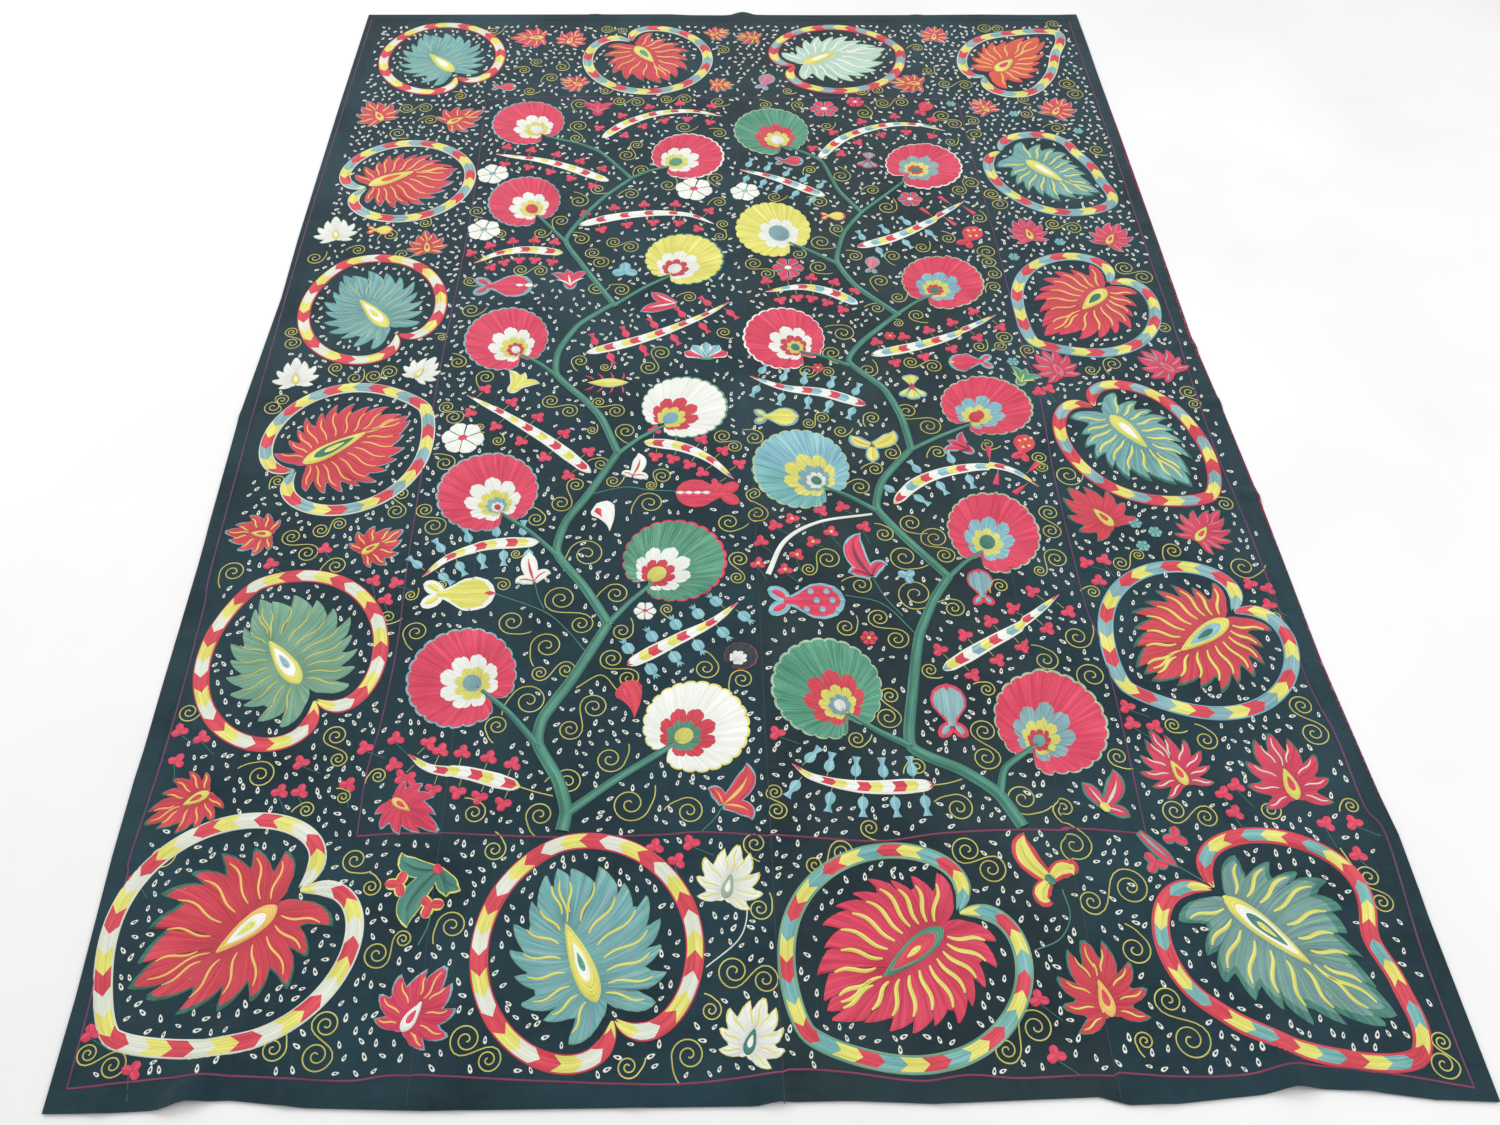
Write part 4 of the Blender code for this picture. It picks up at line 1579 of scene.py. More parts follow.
@dataclass(frozen=True)
class SmallMotif:
    """A small flower, fruit or vessel."""

    kind: MotifKind
    place: Array
    angle: float
    size: float
    fill: Thread
    edge: Thread | None = None
    eye: Thread | None = None
    marks: int = 1

    def way(self, turn: float = 0.0) -> Array:
        """Unit vector of the motif's way, turned by an angle."""
        return np.array([math.cos(self.angle + turn), math.sin(self.angle + turn)])

    def sew(self, work: Stitchwork) -> None:
        """Sew the motif by its kind.

        Args:
            work: Embroidery that it joins.
        """
        if self.kind in PETAL_RINGS:
            self.sew_petals(work, *PETAL_RINGS[self.kind])
        elif self.kind in SINGLE_SHAPES:
            outline, width, steps = SINGLE_SHAPES[self.kind]
            work.add_petal(self.place - self.way() * self.size / 2, self.angle, self.size, self.size * width,
                           outline, self.fill, self.edge, steps=steps)
        else:
            getattr(self, "sew_" + self.kind.value)(work)

    def sew_petals(self, work: Stitchwork, count: int, outline: Outline, first: float,
                   span: float, width: float) -> None:
        """Sew petals round the middle, evenly over a span of angles.

        Args:
            work: Embroidery that it joins.
            count: Number of petals.
            outline: Their outline.
            first: Turn of the first.
            span: Turn from the first to the last.
            width: Their width, as a share of the size.
        """
        for number in range(count):
            turn = first + (span * number / max(count - 1, 1))
            root = self.place - self.way(turn) * self.size * 0.03
            work.add_petal(root, self.angle + turn, self.size * 0.53, self.size * width / 2, outline,
                           self.fill, self.edge, lift=0.00012 * number)
        if self.eye is not None:
            work.add_petal(self.place - self.way() * self.size * 0.11, self.angle, self.size * 0.22,
                           self.size * 0.11, Outline.ROUND, self.eye, lift=0.0008)

    def sew_pomegranate(self, work: Stitchwork) -> None:
        """Sew a round fruit with a small crown.

        Args:
            work: Embroidery that it joins.
        """
        work.add_petal(self.place - self.way() * self.size / 2, self.angle, self.size * 0.68,
                       self.size * 0.32, Outline.ROUND, self.fill, self.edge)
        for turn in (-0.5, 0.0, 0.5):
            work.add_petal(self.place + self.way() * self.size * 0.12, self.angle + turn,
                           self.size * 0.36, self.size * 0.06, Outline.SPINDLE, self.fill)

    def sew_tulip(self, work: Stitchwork) -> None:
        """Sew a flower of three pointed petals, the outer two bent outwards.

        Args:
            work: Embroidery that it joins.
        """
        size = self.size
        root = self.place - self.way() * size * 0.45
        middle = self.place - self.way() * size * 0.30
        lobes = [(Outline.ROUND, root, self.angle, size * 0.62, size * 0.22, 0.0)]
        lobes += [(Outline.LOBE, middle, self.angle + turn, size * reach, size * width, bend)
                  for turn, reach, width, bend in ((0.30, 0.92, 0.17, 1.45), (-0.30, 0.92, 0.17, -1.45),
                                                   (0.0, 0.82, 0.18, 0.35))]
        work.add_lobes(lobes, self.fill, self.edge, 0.0026)
        if self.eye is not None:
            for turn, bend in ((0.4, 1.1), (0.0, 0.2), (-0.4, -1.1)):
                work.add_petal(middle, self.angle + turn, size * 0.55, size * 0.035, Outline.SPINDLE,
                               self.eye, bend=bend, lift=0.0018)

    def sew_half_fan(self, work: Stitchwork) -> None:
        """Sew a half-open fan of petals on a green foot.

        Args:
            work: Embroidery that it joins.
        """
        root = self.place - self.way() * self.size * 0.35
        for number, turn in enumerate((-1.15, 1.15, -0.6, 0.6, 0.0)):
            thread = self.edge if number < 2 and self.edge else self.fill
            work.add_petal(root, self.angle + turn, self.size * 0.72, self.size * 0.17, Outline.DROP,
                           thread, WHITE, lift=0.0002 * number)
        work.add_petal(root - turn_left(self.way()) * self.size * 0.3, self.angle + math.pi / 2,
                       self.size * 0.6, self.size * 0.06, Outline.SPINDLE, DARK_GREEN, lift=0.0012)

    def sew_crab(self, work: Stitchwork) -> None:
        """Sew a little creature with a spindle body and curved legs.

        Args:
            work: Embroidery that it joins.
        """
        side = turn_left(self.way())
        for number in range(8):
            share = (number % 4 - 1.5) * 0.24
            sign = 1.0 if number < 4 else -1.0
            root = self.place + side * self.size * share + self.way() * self.size * 0.10 * sign
            turn = self.angle + (0.0 if number < 4 else math.pi) + sign * share * 1.6
            work.add_petal(root, turn, self.size * 0.34, self.size * 0.032, Outline.SPINDLE, CRIMSON,
                           bend=0.9 * sign)
        work.add_petal(self.place - side * self.size * 0.56, self.angle + math.pi / 2, self.size * 1.12,
                       self.size * 0.19, Outline.SPINDLE, self.fill, self.edge, lift=0.0008, steps=12)

    def sew_fish(self, work: Stitchwork) -> None:
        """Sew a big fish-shaped fruit with a forked tail and an eye or a mark.

        Args:
            work: Embroidery that it joins.
        """
        size = self.size
        head = self.place + self.way() * size / 2
        neck = self.place - self.way() * size * 0.22
        back = self.angle + math.pi
        lobes = [(Outline.ROUND, neck, back + turn, size * 0.32, size * 0.12, -turn)
                 for turn in (0.8, -0.8)]
        lobes.append((Outline.FISH, head, back, size * 0.84, size * 0.31, 0.0))
        work.add_lobes(lobes, self.fill, self.edge, size * 0.062)
        if self.eye is None:
            return
        side = turn_left(self.way())
        many = self.marks > 4
        for number in range(self.marks):
            away = 0.14 + (0.40 * number / (self.marks - 1) if self.marks > 2 else 0.15 * number)
            aside = 0.14 * (number % 3 - 1) if many else 0.0
            place = head - self.way() * size * away + side * size * aside
            round_mark = many or (self.marks == 2 and number == 0)
            outline, width = (Outline.ROUND, 0.045) if round_mark else (Outline.SPINDLE, 0.035)
            work.add_petal(place, self.angle, size * (0.08 if many else 0.14), size * width, outline,
                           self.eye, lift=0.0017)

    def sew_bow(self, work: Stitchwork) -> None:
        """Sew an hourglass of two round lobes with a small heart.

        Args:
            work: Embroidery that it joins.
        """
        size = self.size
        middle = self.place + self.way() * size * 0.04
        lobes = [(Outline.DROP, middle - self.way() * size * 0.05 * sign, self.angle + turn, size * 0.52,
                  size * width, 0.0)
                 for turn, width, sign in ((0.0, 0.26, 1), (math.pi, 0.22, -1), (math.pi - 0.7, 0.12, -1),
                                           (math.pi + 0.7, 0.12, -1))]
        work.add_lobes(lobes, self.fill, self.edge, size * 0.05)
        if self.eye is not None:
            work.add_petal(middle - self.way() * size * 0.12, self.angle, size * 0.24, size * 0.06,
                           Outline.ROUND, self.eye, lift=0.0017)

    def sew_paisley(self, work: Stitchwork) -> None:
        """Sew a drop with a bent tail, and a small drop in it.

        Args:
            work: Embroidery that it joins.
        """
        tail = self.place - self.way() * self.size / 2
        work.add_petal(tail, self.angle - 0.5, self.size * 1.05, self.size * 0.37, Outline.DROP,
                       self.fill, self.edge, 0.9, steps=14)
        if self.eye is not None:
            work.add_petal(self.place, self.angle, self.size * 0.36, self.size * 0.10, Outline.DROP,
                           self.eye, lift=0.0010)


RED_TREFOIL = (TREFOIL, CRIMSON)
# Width of a pod: share of its length, share of its greatest width
POD_SWELL = ((0.0, 0.05), (0.12, 0.42), (0.5, 0.84), (0.80, 1.0), (0.94, 0.8), (0.985, 0.4), (1.0, 0.05))


@dataclass(frozen=True)
class SeedPod:
    """A long pod of arrow blocks with small motifs on stalks along both of its sides."""

    route: tuple[Pixel, ...]
    blocks: tuple[Thread, ...]
    thin_end: tuple[MotifKind, Thread] = RED_TREFOIL
    fat_end: tuple[MotifKind, Thread] = RED_TREFOIL
    outline: Thread = WHITE
    width: float = 0.0235
    block_length: float = 0.016
    lead: float = 0.007
    motifs: int = 5
    stand_off: float = 0.029

    def swell(self, at: Array, length: float) -> Array:
        """Fatten the pod towards its fat end."""
        return read_table(POD_SWELL, at / length)

    def sew(self, pods: Stitchwork, motifs: Stitchwork, stalks: Stitchwork) -> None:
        """Sew the pod from its thin end to its fat end, then its motifs.

        Args:
            pods: Embroidery of the pods.
            motifs: Embroidery of the motifs.
            stalks: Embroidery of the stalks.
        """
        fine = smooth_path(VIEW.on_cloth(self.route), BLOCK_LINE_STEP)
        along, sides = lengths_of(fine), normals_of(fine)
        profile = (EDGE_SINK, 0.0011, 0.0014, 0.0011, EDGE_SINK)
        ArrowRow(self.outline, self.blocks, self.width, self.block_length, self.lead, 3,
                 (-1.0, -0.68, 0.0, 0.68, 1.0), profile).sew(pods, fine, self.swell)
        for sign in (1.0, -1.0):
            for number in range(self.motifs):
                share = 0.06 + 0.86 * (number + 0.25 * (sign < 0)) / (self.motifs - 0.75)
                kind, thread = self.thin_end if share < 0.42 else self.fat_end
                spot = share * along[-1]
                root, way = points_at(spot, along, fine), points_at(spot, along, sides) * sign
                self.sew_motif(root, way, kind, thread, motifs, stalks)

    def sew_motif(self, root: Array, way: Array, kind: MotifKind, thread: Thread,
                  motifs: Stitchwork, stalks: Stitchwork) -> None:
        """Sew one motif on its stalk, standing off the pod.

        Args:
            root: Place on the pod.
            way: Unit vector away from it.
            kind: Kind of motif.
            thread: Its thread.
            motifs: Embroidery of the motifs.
            stalks: Embroidery of the stalks.
        """
        size = 0.031 if kind in (PITCHER, POMEGRANATE) else 0.025
        place = root + way * self.stand_off
        angle = math.atan2(way[1], way[0])
        SmallMotif(kind, place, angle, size, thread).sew(motifs)
        path = np.linspace(root + way * self.width * 0.3, place - way * size * 0.3, 4)
        stalks.add_ribbon(path, 0.0006, OLIVE, 0.0004, THIN_ROW)


BLUE_PITCHER = (PITCHER, SKY)
RED_PITCHER = (PITCHER, CRIMSON)
# Pods: picture points from the thin end to the fat end, blocks, motifs by its thin end, by its fat end
PODS = (
    SeedPod(((496, 154), (553, 163), (609, 181)), (RED, WHITE, YELLOW, WHITE)),
    SeedPod(((722, 116), (690, 111), (655, 114), (625, 124), (602, 138)), (RED, YELLOW, WHITE)),
    SeedPod(((714, 224), (690, 215), (655, 213), (615, 217), (579, 225)), (WHITE, WHITE, RED)),
    SeedPod(((474, 263), (500, 253), (530, 250), (563, 253)), (RED, YELLOW, WHITE)),
    SeedPod(((729, 302), (700, 317), (645, 338), (586, 353)), (RED, YELLOW, WHITE), RED_PITCHER, RED_PITCHER),
    SeedPod(((467, 395), (505, 415), (550, 442), (591, 473)), (RED, WHITE, YELLOW, WHITE)),
    SeedPod(((734, 479), (708, 458), (678, 446), (644, 442)), (RED, YELLOW, WHITE)),
    SeedPod(((422, 577), (450, 557), (490, 545), (539, 542)), (RED, YELLOW, WHITE), BLUE_PITCHER,
            BLUE_PITCHER),
    SeedPod(((738, 602), (712, 622), (676, 640), (627, 665)), (RED, YELLOW, WHITE),
            (POMEGRANATE, SKY), (POMEGRANATE, SKY)),
    SeedPod(((408, 754), (430, 768), (470, 774), (520, 787)), (RED, YELLOW, WHITE)),
    SeedPod(((740, 170), (775, 178), (825, 196)), (RED, SKY, WHITE), BLUE_PITCHER, BLUE_PITCHER),
    SeedPod(((945, 131), (910, 124), (876, 127), (842, 139), (818, 159)), (RED, YELLOW, SKY, WHITE)),
    SeedPod(((965, 201), (930, 221), (895, 237), (857, 247)), (RED, YELLOW, SKY, WHITE),
            (TUBE, CRIMSON), BLUE_PITCHER),
    SeedPod(((765, 292), (800, 287), (830, 292), (858, 304)), (RED, YELLOW, SKY, WHITE)),
    SeedPod(((750, 377), (785, 388), (825, 393), (866, 405)), (RED, SKY, WHITE), BLUE_PITCHER, BLUE_PITCHER),
    SeedPod(((996, 315), (960, 332), (920, 345), (871, 355)), (RED, YELLOW, SKY, WHITE)),
    SeedPod(((1039, 487), (1015, 472), (985, 466), (944, 472), (915, 484), (894, 504)),
            (RED, YELLOW, SKY, WHITE), (TUBE, CRIMSON), BLUE_PITCHER),
    SeedPod(((1059, 595), (1025, 622), (985, 645), (943, 670)), (RED, YELLOW, GREY_BLUE, WHITE)),
    SeedPod(((792, 764), (815, 778), (865, 787), (934, 785)), (RED, YELLOW, WHITE), BLUE_PITCHER,
            BLUE_PITCHER),
)


@dataclass(frozen=True)
class SpikyFlower:
    """A small flower of pointed leaves with an eye, like a small medallion leaf without its band."""

    place: Pixel
    size: float
    angle: float
    fill: Thread = RED
    edge: Thread = GREY_BLUE
    vein: Thread | None = YELLOW
    eye: Thread = YELLOW
    stretch: float = 1.15
    lobes: int = 9
    notch: float = 0.34

    def sew(self, work: Stitchwork) -> None:
        """Sew the flower.

        Args:
            work: Embroidery that it joins.
        """
        centre = VIEW.spot(self.place)
        angle = math.radians(self.angle)
        way = np.array([math.cos(angle), math.sin(angle)])
        half = np.full(2, self.size / 2)
        tip = centre + way * self.size * 0.5 * self.stretch
        form = HeartForm(centre, half, centre - way * self.size * 0.40, tip)
        start, end = centre - way * self.size * 0.24, centre + way * self.size * 0.12
        JaggedLeaf(form, self.fill, self.edge, self.vein, start, end, (self.eye, self.fill), self.lobes,
                   share=0.98, base_share=0.0, notch=self.notch, lean=0.20, eye_width=self.size * 0.07,
                   vein_width=0.0026, edge_rings=2, samples=7, start=0.30).sew(work)


# Spiky flowers: place in the picture, size, way that the tip points in degrees, their threads, how far the
# tip is drawn out, lobes, notch
SPIKY_FLOWERS = (
    SpikyFlower((534, 38), 0.090, 180, CRIMSON, PINK), SpikyFlower((571, 40), 0.076, 70, CRIMSON, PINK),
    SpikyFlower((576, 84), 0.070, 150, CRIMSON), SpikyFlower((716, 34), 0.062, 30, CRIMSON),
    SpikyFlower((719, 85), 0.060, 0), SpikyFlower((751, 38), 0.066, 170),
    SpikyFlower((934, 36), 0.076, 80, CRIMSON), SpikyFlower((911, 84), 0.082, 170),
    SpikyFlower((984, 108), 0.070, 120, CRIMSON), SpikyFlower((1057, 110), 0.090, 60, CRIMSON),
    SpikyFlower((458, 120), 0.104, 35), SpikyFlower((378, 115), 0.100, 120),
    SpikyFlower((427, 246), 0.080, 100),
    SpikyFlower((258, 534), 0.088, 175), SpikyFlower((374, 547), 0.088, 40),
    SpikyFlower((192, 801), 0.096, 212, RED, PINE, AMBER, YELLOW, 1.35, 11),
    SpikyFlower((415, 1012), 0.104, 60, CRIMSON, GREY_BLUE, AMBER, WHITE),
    SpikyFlower((1028, 233), 0.084, 100, CRIMSON, GREY_BLUE, PINK),
    SpikyFlower((1111, 238), 0.090, 60, CRIMSON, GREY_BLUE, PINK),
    SpikyFlower((1056, 368), 0.088, 110, CRIMSON, WINE, GREY_BLUE, PINK),
    SpikyFlower((1164, 366), 0.090, 130, CRIMSON, WINE, GREY_BLUE, PINK),
    SpikyFlower((1100, 515), 0.112, 125, RED, PINE, CRIMSON, YELLOW, 1.3),
    SpikyFlower((1203, 532), 0.094, 50, CRIMSON, PINE, PINK, YELLOW, 1.2, 11, 0.40),
    SpikyFlower((1176, 769), 0.104, 110, CRIMSON, PINE, PALE, YELLOW, 1.2, 11, 0.42),
    SpikyFlower((1288, 779), 0.124, 95, CRIMSON, PINE, PALE, YELLOW, 1.2, 9, 0.42),
    SpikyFlower((1103, 994), 0.118, 100, RED, GREEN, YELLOW, AMBER, 1.25, 9, 0.44),
    SpikyFlower((336, 233), 0.086, 100, WHITE, PALE, None),
    SpikyFlower((296, 377), 0.082, 100, WHITE, PALE, None),
    SpikyFlower((421, 372), 0.072, 60, WHITE, PALE, None),
    SpikyFlower((404, 807), 0.084, -35, CRIMSON, GREY_BLUE, None, AMBER, 1.5),
    SpikyFlower((729, 882), 0.092, 75, WHITE, YELLOW, YELLOW, SAGE),
    SpikyFlower((752, 1037), 0.086, 70, WHITE, YELLOW, YELLOW, GREEN),
)

# Fruits and other larger motifs: kind, place, angle in degrees, size, fill, edge, eye, marks
LARGE_MOTIFS = (
    (FISH, (458, 594), 0, 0.112, YELLOW, WHITE, RED, 1),
    (FISH, (806, 601), 0, 0.118, CRIMSON, SKY, SKY, 7),
    (FISH, (708, 493), 180, 0.104, CRIMSON, RED, WHITE, 4),
    (FISH, (503, 286), 0, 0.112, CRIMSON, GREY_BLUE, WHITE, 2),
    (FISH, (776, 417), 0, 0.078, YELLOW, GREY_BLUE, YELLOW, 1),
    (FISH, (971, 362), 180, 0.080, CRIMSON, GREY_BLUE, YELLOW, 1),
    (BOW, (912, 388), 90, 0.066, YELLOW, SKY, RED, 1),
    (FISH, (950, 711), 90, 0.090, GREY_BLUE, CRIMSON, CRIMSON, 1),
    (FISH, (981, 587), 90, 0.070, GREY_BLUE, CRIMSON, CRIMSON, 1),
    (FISH, (970, 237), 60, 0.070, RED, CRIMSON, YELLOW, 5),
    (FISH, (1023, 448), 70, 0.062, RED, CRIMSON, YELLOW, 5),
    (FISH, (924, 109), 60, 0.055, RED, CRIMSON, YELLOW, 1),
    (FISH, (765, 82), 70, 0.065, PINK, SKY, SKY, 1),
    (FISH, (789, 161), 0, 0.060, RED, SKY, SKY, 1),
    (BOW, (868, 161), 80, 0.060, TEAL, CRIMSON, CRIMSON, 1),
    (FISH, (504, 87), 0, 0.055, RED, GREY_BLUE, WHITE, 1),
    (TULIP, (518, 384), 60, 0.058, YELLOW, PALE, None, 1),
    (TULIP, (570, 280), 95, 0.062, CRIMSON, GREY_BLUE, WHITE, 1),
    (TULIP, (598, 109), 90, 0.064, CRIMSON, WINE, PINK, 1),
    (TULIP, (962, 446), 140, 0.052, CRIMSON, GREY_BLUE, WINE, 1),
    (PAISLEY, (602, 518), 115, 0.060, WHITE, WHITE, RED, 1),
    (PAISLEY, (627, 701), 110, 0.060, RED, CRIMSON, CRIMSON, 1),
    (HALF_FAN, (706, 351), 90, 0.058, SKY, CRIMSON, None, 1),
    (CRAB, (608, 383), 90, 0.064, YELLOW, SAGE, None, 1),
    (TREFOIL, (1175, 838), 80, 0.034, CRIMSON, GREEN, None, 1),
    (TREFOIL, (1155, 863), 235, 0.034, CRIMSON, GREEN, None, 1),
    (TREFOIL, (399, 884), 180, 0.036, RED, YELLOW, None, 1),
    (TREFOIL, (430, 905), 250, 0.036, RED, YELLOW, None, 1),
    (CROSS, (463, 438), 20, 0.072, WHITE, None, RED, 1),
    (CROSS, (493, 174), 10, 0.066, WHITE, None, GREY_BLUE, 1),
    (CROSS, (484, 230), 10, 0.066, WHITE, None, GREY_BLUE, 1),
    (CROSS, (694, 189), 10, 0.076, WHITE, None, RED, 1),
    (CROSS, (745, 192), 10, 0.060, WHITE, None, SKY, 1),
    (FLORET, (645, 611), 0, 0.034, WHITE, None, RED, 1),
    (TREFOIL, (625, 271), 90, 0.050, SKY, None, SKY, 1),
    (TREFOIL, (907, 576), 40, 0.030, SKY, None, SKY, 1),
    (FLORET, (824, 109), 0, 0.062, CRIMSON, GREY_BLUE, WHITE, 1),
    (FLORET, (855, 102), 0, 0.040, CRIMSON, None, WHITE, 1),
    (FLORET, (910, 199), 0, 0.050, CRIMSON, GREY_BLUE, WHITE, 1),
    (FLORET, (788, 268), 0, 0.060, CRIMSON, GREY_BLUE, WHITE, 1),
    (FISH, (833, 216), 0, 0.050, YELLOW, ORANGE, ORANGE, 1),
    (FISH, (872, 265), 80, 0.050, PINK, TEAL, TEAL, 1),
    (FLORET, (869, 638), 0, 0.026, RED, None, YELLOW, 1),
    (FLORET, (890, 336), 0, 0.022, RED, None, YELLOW, 1),
    (FLORET, (818, 368), 0, 0.022, RED, None, YELLOW, 1),
    (FISH, (380, 230), 0, 0.050, YELLOW, ORANGE, WHITE, 1),
    (TULIP, (1023, 378), 60, 0.050, DARK_GREEN, SAGE, YELLOW, 1),
)


@dataclass(frozen=True)
class LeafSpray:
    """A lily or leaf of hooked lobes that spread from one foot, each with its own tip and bend."""

    foot: Pixel
    tips: tuple[tuple[float, float, float], ...]
    fill: Thread
    edge: Thread
    vein: Thread
    breadth: float = 0.27
    border: float = 0.0028
    eye: Thread | None = None

    def sew(self, work: Stitchwork) -> None:
        """Sew the lobes as one shape, then a vein up each and an eye at the foot.

        Args:
            work: Embroidery that it joins.
        """
        root = VIEW.spot(self.foot)
        share = np.linspace(0.0, 1.0, 60)
        runs = []
        for x, y, bend in self.tips:
            way = VIEW.spot((x, y)) - root
            turn = bend * share**LOBE_HOOK
            ahead, aside = float(np.cos(turn).mean()), float(np.sin(turn).mean())
            length = float(np.hypot(*way)) / math.hypot(ahead, aside)
            runs.append((math.atan2(way[1], way[0]) - math.atan2(aside, ahead), length, bend))
        middling = sum(length for _, length, _ in runs) / len(runs)
        work.add_lobes([(Outline.LOBE, root, angle, length, (length + middling) / 2 * self.breadth, bend)
                        for angle, length, bend in runs], self.fill, self.edge, self.border)
        for angle, length, bend in runs:
            work.add_petal(root, angle, length * 0.74, length * 0.035, Outline.SPINDLE, self.vein,
                           bend=0.5 * bend, lift=0.0018, steps=14, hook=LOBE_HOOK)
        if self.eye is not None:
            work.add_petal(root + np.array([-0.005, 0.006]), -0.9, 0.016, 0.006, Outline.ROUND, self.eye,
                           lift=0.0022)


# Leaf sprays: foot; x, y and bend of each tip; fill, edge, vein, breadth, width of the border, eye
LEAF_SPRAYS = (
    LeafSpray((534, 582), ((530, 551, -0.5), (551, 574, -1.8), (516, 584, 1.7)), WHITE, PALE, RED, 0.27,
              0.0020),
    LeafSpray((633, 476), ((638, 453, 0.9), (622, 475, 1.9), (646, 480, -1.9)), WHITE, PALE, RED, 0.29,
              0.0020),
    LeafSpray((872, 446), ((850, 435, -1.0), (893, 430, 1.3), (873, 463, 0.0)), YELLOW, GREY_BLUE, AMBER,
              0.30, 0.0034),
    LeafSpray((872, 577), ((861, 533, -1.5), (888, 565, -1.9), (848, 573, 1.3)), CRIMSON, SKY, WINE, 0.24,
              0.0036),
    LeafSpray((723, 805), ((746, 762, 1.2), (707, 789, 1.5), (752, 820, -1.7)), RED, GREY_BLUE, AMBER, 0.24,
              0.0026),
    LeafSpray((1050, 879), ((1024, 832, -1.5), (1077, 876, -2.6), (1053, 902, 2.8)), YELLOW, RED, YELLOW,
              0.26, 0.0045, GREEN),
    LeafSpray((438, 870), ((402, 852, -1.5), (461, 891, 0.7), (407, 928, 1.2), (446, 898, -0.5)), GREEN,
              YELLOW, PINE, 0.24, 0.0024, CRIMSON),
    LeafSpray((1105, 808), ((1112, 769, 1.0), (1081, 783, 0.3), (1131, 818, -0.6)), CRIMSON, GREEN, PALE,
              0.26, 0.0032, YELLOW),
    LeafSpray((1138, 832), ((1179, 868, 0.1),), CRIMSON, GREEN, GREY_BLUE, 0.16, 0.0026),
    LeafSpray((676, 304), ((640, 312, 0.4), (651, 292, -0.3)), CRIMSON, GREY_BLUE, WHITE, 0.22, 0.0022),
)

# Red trefoils: places in the picture
TREFOILS = (
    (138, 877), (91, 1034), (132, 1071), (180, 731), (202, 738), (177, 761), (301, 763), (280, 792),
    (300, 792), (365, 748), (348, 785), (396, 739), (394, 765), (409, 779), (271, 564), (325, 549),
    (374, 581), (396, 583), (386, 600), (655, 847), (691, 843), (677, 861), (1039, 999), (1056, 1055),
    (1326, 824), (1354, 823), (1358, 855), (1235, 813), (1086, 563), (1104, 560), (1099, 581), (1250, 584),
    (1268, 589), (1269, 605), (1132, 724), (1155, 727), (1127, 707), (1236, 786), (1224, 794), (777, 734),
    (1049, 389), (1039, 392), (775, 526), (821, 511), (842, 507), (761, 542), (864, 527),
)
# Red trefoils with a yellow eye
EYED_TREFOILS = ((792, 519), (758, 564), (831, 532), (813, 542), (797, 555), (785, 570))
# Small teal florets: places in the picture
TEAL_FLORETS = (
    (1143, 546), (1135, 523), (1155, 532), (1013, 362), (1014, 257), (951, 104), (1014, 114), (1078, 131),
    (1060, 242),
)
# Thin stalks of green or white thread: picture points, thread
STALKS = (
    (((496, 594), (543, 611), (566, 629), (586, 652)), GREEN),
    (((535, 583), (538, 596), (544, 609)), GREEN),
    (((591, 494), (625, 487), (650, 490), (676, 491)), GREEN),
    (((617, 690), (601, 675), (576, 688)), OLIVE),
    (((845, 595), (883, 604), (916, 634)), GREEN),
    (((873, 578), (886, 598), (903, 616)), GREEN),
    (((744, 892), (747, 915), (738, 940), (706, 967)), PALE),
    (((724, 804), (715, 818), (702, 831)), GREEN),
    (((1062, 888), (1070, 915), (1060, 938), (1035, 950)), GREEN),
    (((432, 905), (428, 925), (418, 945)), GREEN),
    (((520, 787), (536, 792), (553, 796)), OLIVE),
    (((934, 785), (948, 783), (962, 779)), OLIVE),
    (((1340, 848), (1352, 866), (1356, 884)), OLIVE),
    (((1170, 862), (1188, 872), (1205, 882)), GREEN),
)


@dataclass(frozen=True)
class Scroll:
    """A curled tendril of a single row."""

    centre: Array
    radius: float
    end_angle: float
    width: float = 0.0020
    turns: float = 1.85

    def tip(self) -> Array:
        """Outer end of the curl."""
        return self.centre + np.array([math.cos(self.end_angle), math.sin(self.end_angle)]) * self.radius

    def curl(self) -> Array:
        """Points of the curl from its middle outwards, always turning left.

        Returns:
            Points (n, 2).
        """
        t = np.linspace(0.0, 1.0, 44)
        way = self.end_angle - (1.0 - t) * self.turns * 2 * np.pi
        reach = self.radius * (0.10 + 0.90 * t)
        return self.centre + np.stack([np.cos(way), np.sin(way)], axis=1) * reach[:, None]

    def leave(self) -> Array:
        """Unit vector in which the curl leaves at its outer end."""
        return np.array([-math.sin(self.end_angle), math.cos(self.end_angle)])

    def sew(self, work: Stitchwork, path: Array) -> None:
        """Sew a row along a path."""
        work.add_ribbon(path, self.width / 2, OLIVE, 0.0007, THIN_ROW)


